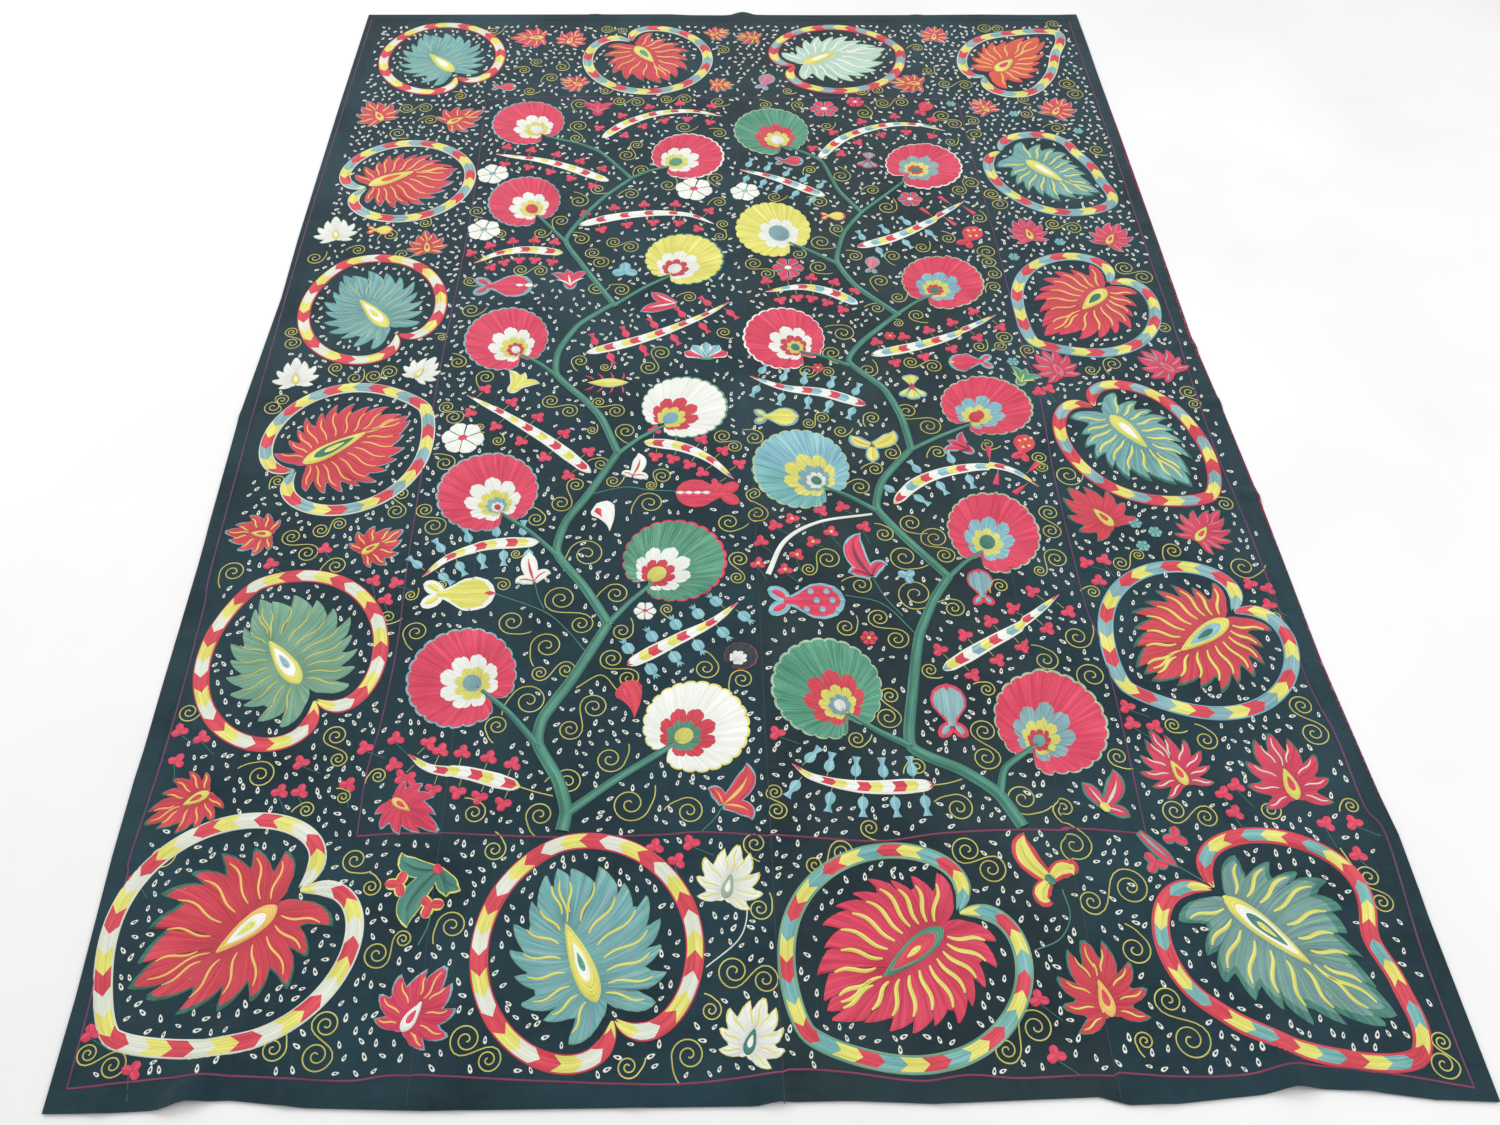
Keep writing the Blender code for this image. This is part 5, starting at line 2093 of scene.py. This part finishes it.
@dataclass(frozen=True)
class ScrollGarden:
    """All the curls: two that lie close share one row that runs between them in an S."""

    rows: tuple[tuple[float, float, float], ...]
    growth: float = 1.12
    reach: float = 2.8
    tail: float = 0.9

    def sew(self, work: Stitchwork) -> None:
        """Sew the pairs first, then each lone curl with a short tail.

        Args:
            work: Embroidery that it joins.
        """
        table = np.array(self.rows)
        centres = VIEW.on_cloth(table[:, :2])
        sides = VIEW.on_cloth(table[:, :2] + table[:, 2:] * np.array([1.0, 0.0]))
        radii = np.linalg.norm(sides - centres, axis=1) * self.growth
        apart = np.linalg.norm(centres[:, None] - centres[None], axis=-1) + np.eye(len(table)) * 9.0
        nearest = apart.argmin(axis=1)
        for number, other in enumerate(nearest):
            paired = nearest[other] == number
            close = apart[number, other] < self.reach * (radii[number] + radii[other]) / 2
            if paired and close and number < other:
                self.sew_pair(work, centres[[number, other]], radii[[number, other]])
            elif not (paired and close):
                self.sew_lone(work, centres[number], radii[number], 2.4 * number)

    def sew_pair(self, work: Stitchwork, centres: Array, radii: Array) -> None:
        """Sew two curls that leave from opposite sides towards each other.

        Args:
            work: Embroidery that it joins.
            centres: Their middles (2, 2).
            radii: Their radii.
        """
        across = centres[1] - centres[0]
        angle = math.atan2(across[1], across[0])
        first = Scroll(centres[0], radii[0], angle - math.pi / 2)
        second = Scroll(centres[1], radii[1], angle + math.pi / 2)
        t = np.linspace(0.0, 1.0, 8)[1:-1, None]
        start, end = first.tip(), second.tip()
        pull = np.linalg.norm(end - start) * 0.35
        near, far = start + first.leave() * pull, end + second.leave() * pull
        link = (start * (1 - t) ** 3 + 3 * near * t * (1 - t) ** 2 + 3 * far * t**2 * (1 - t) + end * t**3)
        first.sew(work, np.vstack([first.curl(), link, second.curl()[::-1]]))

    def sew_lone(self, work: Stitchwork, centre: Array, radius: float, angle: float) -> None:
        """Sew one curl whose end swings out into a tail.

        Args:
            work: Embroidery that it joins.
            centre: Its middle.
            radius: Its radius.
            angle: Way from its middle to its end.
        """
        curl = Scroll(centre, radius, angle)
        swing = np.linspace(0.0, 1.0, 8)[1:]
        way = angle + swing * self.tail
        reach = radius * (1.0 + 0.6 * swing**1.5)
        tail = centre + np.stack([np.cos(way), np.sin(way)], axis=1) * reach[:, None]
        curl.sew(work, np.vstack([curl.curl(), tail]))


# Scrolls: picture x, y and radius, all in pixels
SCROLLS = (
    (162, 856, 12), (306, 810, 8), (355, 860, 12), (371, 887, 9), (377, 954, 13), (403, 939, 8),
    (88, 1054, 10), (112, 1066, 13), (273, 1049, 12), (326, 1025, 13), (316, 1056, 15), (474, 813, 11),
    (540, 815, 13), (630, 804, 18), (689, 811, 14), (777, 811, 9), (494, 850, 11), (452, 926, 14),
    (466, 1040, 15), (488, 1060, 12), (755, 843, 11), (760, 908, 11), (734, 971, 15), (765, 979, 13),
    (711, 1010, 10), (689, 1055, 16), (628, 1067, 11), (959, 808, 14), (870, 828, 9), (1064, 809, 10),
    (842, 852, 11), (815, 865, 9), (967, 850, 14), (991, 869, 14), (1074, 846, 16), (1092, 903, 12),
    (1130, 888, 18), (1135, 950, 15), (1036, 1027, 16), (1007, 1050, 12), (1175, 811, 12), (1206, 817, 11),
    (1270, 810, 10), (1351, 806, 8), (1169, 1001, 13), (1191, 1040, 18), (1145, 1042, 9), (1369, 877, 11),
    (1382, 902, 10), (1442, 1042, 9), (1444, 1064, 14), (587, 554, 17), (516, 554, 5), (503, 585, 7),
    (442, 585, 5), (411, 595, 6), (561, 599, 15), (512, 622, 13), (581, 624, 11), (547, 646, 15),
    (540, 673, 8), (566, 670, 9), (612, 659, 11), (628, 678, 10), (529, 701, 17), (594, 707, 13),
    (570, 729, 11), (497, 726, 11), (610, 759, 14), (568, 782, 13), (775, 793, 8), (706, 668, 12),
    (742, 679, 11), (739, 559, 9), (737, 577, 7), (667, 609, 6), (622, 631, 10), (616, 594, 12),
    (904, 557, 14), (828, 559, 12), (809, 569, 7), (945, 555, 9), (861, 585, 11), (916, 594, 17),
    (954, 608, 10), (1000, 585, 8), (1056, 559, 11), (1040, 571, 6), (879, 618, 10), (846, 627, 10),
    (897, 639, 11), (930, 670, 8), (890, 696, 9), (888, 717, 12), (857, 739, 9), (987, 689, 8),
    (984, 731, 12), (986, 757, 13), (917, 767, 9), (1023, 798, 16), (1046, 661, 12), (1092, 676, 14),
    (1077, 637, 13), (1093, 592, 7), (1118, 757, 10), (1138, 555, 6), (1173, 551, 9), (1243, 567, 13),
    (1121, 563, 8), (1276, 617, 6), (1302, 706, 11), (1314, 733, 13), (1173, 725, 8), (1206, 740, 11),
    (233, 572, 12), (189, 712, 10), (260, 775, 14), (336, 736, 11), (338, 759, 8), (378, 776, 8),
    (388, 617, 8), (343, 797, 7), (416, 632, 12), (315, 258, 8), (358, 250, 7), (470, 281, 6),
    (292, 332, 6), (292, 343, 8), (471, 310, 9), (442, 337, 5), (336, 368, 7), (355, 378, 8), (374, 376, 8),
    (389, 372, 8), (458, 362, 8), (486, 377, 9), (447, 407, 7), (454, 417, 9), (480, 427, 5), (498, 441, 6),
    (273, 407, 9), (282, 400, 7), (445, 463, 10), (401, 494, 8), (396, 511, 9), (425, 510, 8),
    (434, 526, 11), (536, 519, 9), (278, 481, 7), (292, 537, 9), (307, 553, 10), (321, 530, 8),
    (339, 524, 7), (336, 566, 10), (661, 353, 9), (649, 367, 9), (580, 361, 8), (605, 367, 5),
    (689, 297, 7), (724, 332, 7), (551, 401, 8), (569, 411, 8), (599, 402, 6), (616, 411, 8),
    (626, 431, 10), (592, 430, 5), (723, 436, 8), (734, 446, 7), (662, 476, 9), (651, 485, 5),
    (613, 481, 7), (601, 464, 8), (576, 485, 8), (561, 503, 10), (650, 503, 13), (729, 522, 11),
    (754, 438, 9), (754, 494, 7), (757, 514, 10), (860, 487, 10), (809, 423, 6), (822, 418, 7),
    (872, 418, 8), (841, 431, 7), (843, 333, 11), (832, 353, 9), (868, 370, 9), (808, 371, 8),
    (828, 372, 6), (884, 534, 9), (880, 281, 9), (898, 297, 7), (877, 308, 7), (917, 315, 8), (994, 274, 7),
    (994, 287, 7), (988, 262, 7), (898, 323, 5), (1005, 338, 8), (980, 347, 7), (1000, 346, 6),
    (911, 362, 7), (933, 366, 8), (1113, 364, 9), (1091, 370, 6), (907, 411, 10), (929, 426, 11),
    (892, 453, 8), (938, 452, 8), (988, 445, 7), (1040, 458, 7), (1041, 467, 6), (1068, 475, 13),
    (875, 469, 8), (911, 523, 11), (935, 538, 13), (1049, 513, 9), (1051, 531, 9), (1225, 504, 8),
    (1189, 392, 8), (1194, 404, 6), (1164, 328, 7), (1125, 268, 9), (1143, 277, 9), (1028, 350, 7),
    (493, 31, 7), (524, 70, 6), (537, 62, 6), (562, 67, 7), (551, 78, 7), (530, 91, 6), (460, 96, 6),
    (407, 108, 7), (425, 108, 7), (430, 120, 7), (398, 133, 8), (608, 29, 6), (622, 31, 5), (605, 91, 5),
    (620, 101, 6), (637, 102, 7), (667, 99, 6), (684, 99, 7), (718, 102, 7), (723, 50, 6), (580, 104, 8),
    (579, 126, 8), (576, 138, 6), (637, 145, 6), (627, 155, 8), (642, 170, 7), (684, 127, 8), (719, 133, 7),
    (716, 178, 8), (668, 185, 8), (631, 194, 8), (598, 189, 7), (579, 201, 9), (561, 221, 8), (541, 233, 7),
    (500, 234, 6), (477, 211, 7), (425, 223, 6), (390, 235, 8), (402, 254, 7), (581, 239, 8), (593, 253, 7),
    (600, 262, 8), (614, 242, 7), (630, 247, 8), (521, 270, 7), (540, 271, 7), (596, 288, 8), (621, 290, 8),
    (723, 224, 6), (720, 236, 6), (719, 202, 7), (788, 91, 5), (765, 105, 6), (798, 105, 6), (827, 126, 6),
    (861, 91, 6), (877, 90, 6), (864, 113, 8), (883, 103, 7), (901, 102, 7), (945, 84, 6), (965, 85, 7),
    (928, 71, 6), (917, 48, 6), (985, 28, 7), (997, 29, 6), (1053, 24, 6), (1068, 84, 8), (1074, 94, 8),
    (1024, 99, 6), (1026, 114, 6), (942, 116, 8), (954, 124, 7), (973, 121, 6), (975, 134, 8),
    (951, 142, 6), (1057, 128, 8), (1097, 150, 7), (841, 176, 9), (810, 170, 6), (775, 197, 7),
    (819, 202, 8), (837, 229, 7), (887, 207, 9), (872, 190, 7), (821, 242, 10), (948, 239, 7),
    (971, 183, 8), (959, 190, 7), (992, 194, 7), (999, 204, 8), (979, 218, 7), (1053, 224, 7),
    (1073, 228, 8), (855, 256, 7), (893, 256, 8), (922, 247, 7), (987, 252, 9), (819, 267, 9),
    (799, 254, 7), (754, 264, 8), (767, 274, 7),
)

# Lines of two rows that frame the border: picture points, half width, thread
FRAME_LINES = (
    (((372, 20), (300, 250), (219, 540), (204, 607), (179, 702), (159, 769), (130, 858), (127, 877),
      (102, 949), (88, 1011), (67, 1089)), 0.0013, PLUM),
    (((67, 1089), (204, 1076), (341, 1081), (400, 1075), (540, 1081), (680, 1084), (786, 1071), (842, 1072),
      (919, 1081), (970, 1075), (1021, 1078), (1100, 1074), (1176, 1077), (1243, 1075), (1294, 1065),
      (1330, 1067), (1393, 1074), (1474, 1088)), 0.0013, WINE),
    (((1069, 22), (1110, 140), (1148, 253), (1166, 304), (1194, 388), (1220, 462), (1250, 533), (1304, 673),
      (1335, 734), (1364, 805), (1386, 836), (1419, 943), (1455, 1040), (1474, 1088)), 0.0013, PLUM),
    (((486, 103), (470, 220), (440, 370), (411, 540), (398, 640), (383, 714), (366, 776), (357, 836)),
     0.0011, PLUM),
    (((486, 100), (560, 97), (720, 98), (860, 98), (958, 100)), 0.0009, PLUM),
    (((357, 836), (420, 833), (550, 837), (655, 835), (706, 832), (800, 837), (880, 841), (944, 833),
      (1027, 829), (1090, 830), (1145, 834)), 0.0014, WINE),
    (((958, 103), (975, 165), (999, 253), (1023, 347), (1039, 393), (1054, 475), (1072, 551), (1087, 610),
      (1100, 640), (1117, 703), (1129, 756), (1143, 820), (1146, 834)), 0.0011, PLUM),
)


@dataclass(frozen=True)
class SeedStitches:
    """Loose loop stitches strewn over the whole ground between the motifs."""

    spacing: float = 0.0184
    length: float = 0.0100
    half_width: float = 0.0023
    kept_in_field: float = 0.64
    clearance: float = 0.004
    margin: float = 0.042
    draw: int = 71
    jitter: float = 0.29
    field_half_width: float = 0.44
    field_middle: float = 0.19
    field_half_length: float = 0.82
    angles: tuple[float, ...] = (0.5, 1.1, 1.57, 1.9, 2.6)

    def places(self) -> Array:
        """Draw places that keep clear of every motif.

        Returns:
            Places (n, 2).
        """
        chance = np.random.default_rng(self.draw)
        taken = PLAN.widened(self.clearance)
        across = np.arange(-HALF_WIDTH + self.margin, HALF_WIDTH - self.margin, self.spacing)
        along = np.arange(-HALF_LENGTH + self.margin, HALF_LENGTH - self.margin, self.spacing * 0.9)
        grid = np.stack(np.meshgrid(across, along, indexing="ij"), axis=-1)
        grid[:, ::2, 0] += self.spacing / 2
        count = grid.shape[0] * grid.shape[1]
        flat = grid.reshape(-1, 2) + chance.uniform(-self.jitter, self.jitter, (count, 2)) * self.spacing
        flat[:, 0] += CENTRE_SHIFT
        beside = np.abs(flat[:, 0]) >= self.field_half_width
        beyond = np.abs(flat[:, 1] - self.field_middle) >= self.field_half_length
        kept = beside | beyond | (chance.random(len(flat)) < self.kept_in_field)
        return flat[kept & ~taken[PLAN.cells(flat)]]

    def sew(self, work: Stitchwork) -> None:
        """Sew each loop as a small teardrop ring.

        Args:
            work: Embroidery that it joins.
        """
        chance = np.random.default_rng(self.draw + 1)
        turn = np.linspace(0.0, TURN, 11)
        for place in self.places():
            angle = chance.choice(self.angles) + chance.normal(0.0, 0.25)
            size = chance.uniform(0.8, 1.12)
            way = np.array([math.cos(angle), math.sin(angle)]) * size
            side = turn_left(way)
            along = np.cos(turn) * self.length / 2
            across = np.sin(turn) * self.half_width * (1.0 - 0.35 * np.cos(turn))
            ring = along[:, None] * way + across[:, None] * side
            points = place + ring[:, None] * np.array([1.08, 0.76, 0.42])[None, :, None]
            rows = np.empty((11, 3, 2))
            rows[..., 0] = lengths_of(ring)[:, None]
            rows[..., 1] = np.array([0.0, 0.0007, 0.0014])[None, :]
            work.add_grid(points, np.array([[EDGE_SINK, 0.0010, 0.0002]]), rows, WHITE)


@dataclass(frozen=True)
class Strip:
    """One loom strip of the ground, with its share of the hem."""

    number: int
    left: float
    right: float
    finish: GroundFinish

    def lines(self, low: float, high: float, axis: int, half: float) -> Array:
        """Grid lines from low to high: fine over ripples, wider elsewhere, and exact at the hem.

        Args:
            low: First line.
            high: Last line.
            axis: 0 across the cloth, 1 along it.
            half: Half the cloth's size that way.

        Returns:
            The lines, in rising order.
        """
        spans = [(min(start[axis], end[axis]) - width, max(start[axis], end[axis]) + width)
                 for start, end, width, _ in RIPPLES + CREASES if abs(end[axis] - start[axis]) < 0.06]
        inside = half - HEM_WIDTH
        folds = (-inside, inside, HEM_SLOPE - inside, inside - HEM_SLOPE)
        lines, place = [low, high, *(line for line in folds if low < line < high)], low
        while place < high:
            fine = any(start < place < end for start, end in spans)
            place += FINE_STEP if fine else CLOTH_STEP
            if place < high and min(abs(place - line) for line in lines) > LEAST_STEP:
                lines.append(place)
        return np.array(sorted(lines))

    def make(self) -> bpy.types.Object:
        """Build the strip and let it stand for its model node.

        Returns:
            The strip.
        """
        low = self.left + (SEAM_GAP / 2 if self.number > 1 else 0.0)
        high = self.right - (SEAM_GAP / 2 if self.number < 4 else 0.0)
        columns = self.lines(low, high, 0, HALF_WIDTH)
        rows = self.lines(-HALF_LENGTH, HALF_LENGTH, 1, HALF_LENGTH)
        u, v = np.meshgrid(columns, rows, indexing="ij")
        x, y = CLOTH.lay(u, v, Layer.GROUND)
        under = CLOTH.rise(x, y) + CLOTH.puckers(x, y) + LINING_THICKNESS + LAYER_GAP
        top = under + GROUND_THICKNESS + CLOTH.hem(u, v)
        name = f"ground_strip_{self.number}"
        piece = make_cloth_mesh(name, x, y, under, top, self.finish.material())
        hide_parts(f"panel_{self.number}")
        return piece


def make_cloth_mesh(name: str, x: Array, y: Array, under: Array, top: Array,
                    material: bpy.types.Material) -> bpy.types.Object:
    """Build a closed sheet from its lower and upper grids.

    Args:
        name: Name of the object.
        x: Grid of x (n, m).
        y: Grid of y (n, m).
        under: Heights of the lower face.
        top: Heights of the upper face.
        material: Its finish.

    Returns:
        The object, riding on the body.
    """
    n, m = x.shape
    upper = np.arange(n * m).reshape(n, m)
    lower = upper + n * m
    rim_up = np.concatenate([upper[:-1, 0], upper[-1, :-1], upper[:0:-1, -1], upper[0, :0:-1]])
    rim_down = rim_up + n * m
    walls = np.stack([rim_down, np.roll(rim_down, -1), np.roll(rim_up, -1), rim_up], axis=1)
    faces = np.concatenate([grid_cells(upper), grid_cells(lower)[:, ::-1], walls])
    places = np.concatenate([
        np.column_stack([x.ravel(), y.ravel(), top.ravel()]),
        np.column_stack([x.ravel(), y.ravel(), under.ravel()]),
    ])
    mesh = bpy.data.meshes.new(name)
    mesh.from_pydata(places.tolist(), [], faces.tolist())
    mesh.materials.append(material)
    mesh.polygons.foreach_set("use_smooth", np.ones(len(faces), dtype=bool))
    mesh.set_sharp_from_angle(angle=math.radians(50))
    mesh.update()
    piece = add_object(name, mesh)
    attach(piece, "root")
    return piece


@dataclass(frozen=True)
class Lining:
    """The printed lining under the whole cloth."""

    step: float = 0.012

    def make(self) -> bpy.types.Object:
        """Build the lining and let it stand for its model node.

        Returns:
            The lining.
        """
        columns = np.linspace(-HALF_WIDTH, HALF_WIDTH, round(2 * HALF_WIDTH / self.step) + 1)
        rows = np.linspace(-HALF_LENGTH, HALF_LENGTH, round(2 * HALF_LENGTH / self.step) + 1)
        u, v = np.meshgrid(columns, rows, indexing="ij")
        x, y = CLOTH.lay(u, v, Layer.LINING)
        under = CLOTH.rise(x, y)
        material = LiningFinish("printed_lining_cotton").material()
        piece = make_cloth_mesh("lining_sheet", x, y, under, under + LINING_THICKNESS, material)
        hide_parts("lining")
        return piece


@dataclass(frozen=True)
class Room:
    """A plain pale floor with soft studio light."""

    floor_size: float = 14.0
    floor_drop: float = 0.0004

    def make_floor(self) -> None:
        """Lay the floor just under the cloth."""
        half = self.floor_size / 2
        mesh = bpy.data.meshes.new("floor")
        corners = [(x, y, -self.floor_drop)
                   for x, y in ((-half, -half), (half, -half), (half, half), (-half, half))]
        mesh.from_pydata(corners, [], [(0, 1, 2, 3)])
        wires = Wiring("floor_paint")
        place = wires.place()
        tone = wires.spread(wires.noise(place, 2.0, 3.0), 0.3, 0.7)
        wires.finish(wires.blend(tone, linear(236, 235, 232), linear(244, 243, 241)), 0.7)
        mesh.materials.append(wires.material)
        floor = add_object("floor", mesh)

    def make_lamp(self, name: str, place: tuple[float, float, float], size: float, power: float) -> None:
        """Hang a soft square lamp that looks at the middle of the cloth.

        Args:
            name: Name of the lamp.
            place: Where it hangs.
            size: Side of its square.
            power: Its power, in watts.
        """
        data = bpy.data.lights.new(name, "AREA")
        data.shape = "SQUARE"
        data.size = size
        data.energy = power
        lamp = add_object(name, data)
        lamp.location = place
        lamp.rotation_mode = "QUATERNION"
        lamp.rotation_quaternion = Vector(place).to_track_quat("Z", "Y")

    def make(self) -> None:
        """Make the floor, the sky and the lamps."""
        self.make_floor()
        world = bpy.data.worlds.new("studio")
        world.use_nodes = True
        sky = world.node_tree.nodes["Background"]
        sky.inputs["Color"].default_value = (0.95, 0.98, 1.0, 1.0)
        sky.inputs["Strength"].default_value = 0.66
        bpy.context.scene.world = world
        self.make_lamp("lamp_left", (-2.2, 1.6, 3.2), 2.4, 70.0)
        self.make_lamp("lamp_right", (2.4, -0.4, 3.4), 2.4, 55.0)
        bpy.context.scene.view_settings.view_transform = "Standard"


class Embroidery:
    """All the needlework of the cloth."""

    def make(self) -> None:
        """Sew every kind of motif, the seeds last, where the others leave room."""
        self.sew_medallions()
        self.sew_flowers()
        self.sew_pods()
        self.sew_small_motifs()
        self.sew_lines()
        seeds = Stitchwork("seed_stitches")
        SeedStitches().sew(seeds)
        seeds.make()

    def sew_medallions(self) -> None:
        """Sew the sixteen medallions of the border."""
        bands, leaves = Stitchwork("heart_bands"), Stitchwork("medallion_leaves")
        for medallion in MEDALLIONS:
            medallion.sew(bands, leaves)
        bands.make()
        leaves.make()

    def sew_flowers(self) -> None:
        """Sew the fan flowers, the boughs and the small spiky flowers."""
        fans, boughs, spiky = Stitchwork("fan_flowers"), Stitchwork("boughs"), Stitchwork("spiky_flowers")
        for fan in FANS:
            fan.sew(fans)
        for bough in BOUGHS:
            bough.sew(boughs)
        for flower in SPIKY_FLOWERS:
            flower.sew(spiky)
        fans.make()
        boughs.make()
        spiky.make()

    def sew_pods(self) -> None:
        """Sew the pods with the motifs beside them."""
        pods, motifs, stalks = Stitchwork("pods"), Stitchwork("pod_motifs"), Stitchwork("pod_stalks")
        for pod in PODS:
            pod.sew(pods, motifs, stalks)
        pods.make()
        motifs.make()
        stalks.make()

    def sew_small_motifs(self) -> None:
        """Sew the fruits, leaf sprays, trefoils and florets."""
        fruits, florets = Stitchwork("fruits_and_tulips"), Stitchwork("trefoils")
        for kind, pixel, angle, size, fill, edge, eye, marks in LARGE_MOTIFS:
            SmallMotif(kind, VIEW.spot(pixel), math.radians(angle), size, fill, edge, eye, marks).sew(fruits)
        for spray in LEAF_SPRAYS:
            spray.sew(fruits)
        for number, pixel in enumerate((*TREFOILS, *EYED_TREFOILS)):
            angle = math.pi / 2 + 0.5 * math.sin(2.3 * number)
            eye = YELLOW if pixel in EYED_TREFOILS else None
            motif = SmallMotif(TREFOIL, VIEW.spot(pixel), angle, 0.025, CRIMSON, eye=eye)
            motif.sew(florets)
            foot = np.linspace(motif.place - motif.way() * 0.006, motif.place - motif.way(0.6) * 0.034, 5)
            florets.add_ribbon(foot, 0.0006, GREEN, 0.0004, THIN_ROW)
        for pixel in TEAL_FLORETS:
            SmallMotif(FLORET, VIEW.spot(pixel), 0.0, 0.022, TEAL).sew(florets)
        fruits.make()
        florets.make()

    def sew_lines(self) -> None:
        """Sew the stalks, the frame lines, the scrolls and the seams."""
        stalks, lines = Stitchwork("stalks"), Stitchwork("frame_lines")
        for route, thread in STALKS:
            stalks.add_ribbon(smooth_path(VIEW.on_cloth(route), ROW_STEP), 0.0009, thread, 0.0007)
        for route, half_width, thread in FRAME_LINES:
            lines.add_ribbon(smooth_path(VIEW.on_cloth(route), 0.008), half_width, thread, 0.0008)
        scrolls, seams = Stitchwork("scrolls"), Stitchwork("seam_stitches")
        ScrollGarden(SCROLLS).sew(scrolls)
        stalks.make()
        lines.make()
        scrolls.make()
        for seam in SEAMS:
            along = np.arange(-HALF_LENGTH + 0.004, HALF_LENGTH - 0.004, 0.006)
            path = np.column_stack([np.full_like(along, seam + CENTRE_SHIFT), along])
            seams.add_ribbon(path, 0.0007, NAVY, 0.0004, THIN_ROW, lift=0.0002)
        seams.make()


def main() -> None:
    """Build the cloth, its needlework, the room and the camera, in that order."""
    logging.basicConfig(level=logging.INFO, format="%(message)s")
    VIEW.make_camera()
    Lining().make()
    log.info("lining")
    edges = (-HALF_WIDTH, *SEAMS, HALF_WIDTH)
    tones = (
        GroundFinish("ground_cotton_1"),
        GroundFinish("ground_cotton_2"),
        GroundFinish("ground_cotton_3", light=(42, 63, 66)),
        GroundFinish("ground_cotton_4"),
    )
    for number, (left, right, finish) in enumerate(zip(edges, edges[1:], tones), start=1):
        Strip(number, left, right, finish).make()
        log.info("ground strip %d", number)
    Embroidery().make()
    Room().make()


if __name__ == "__main__":
    main()
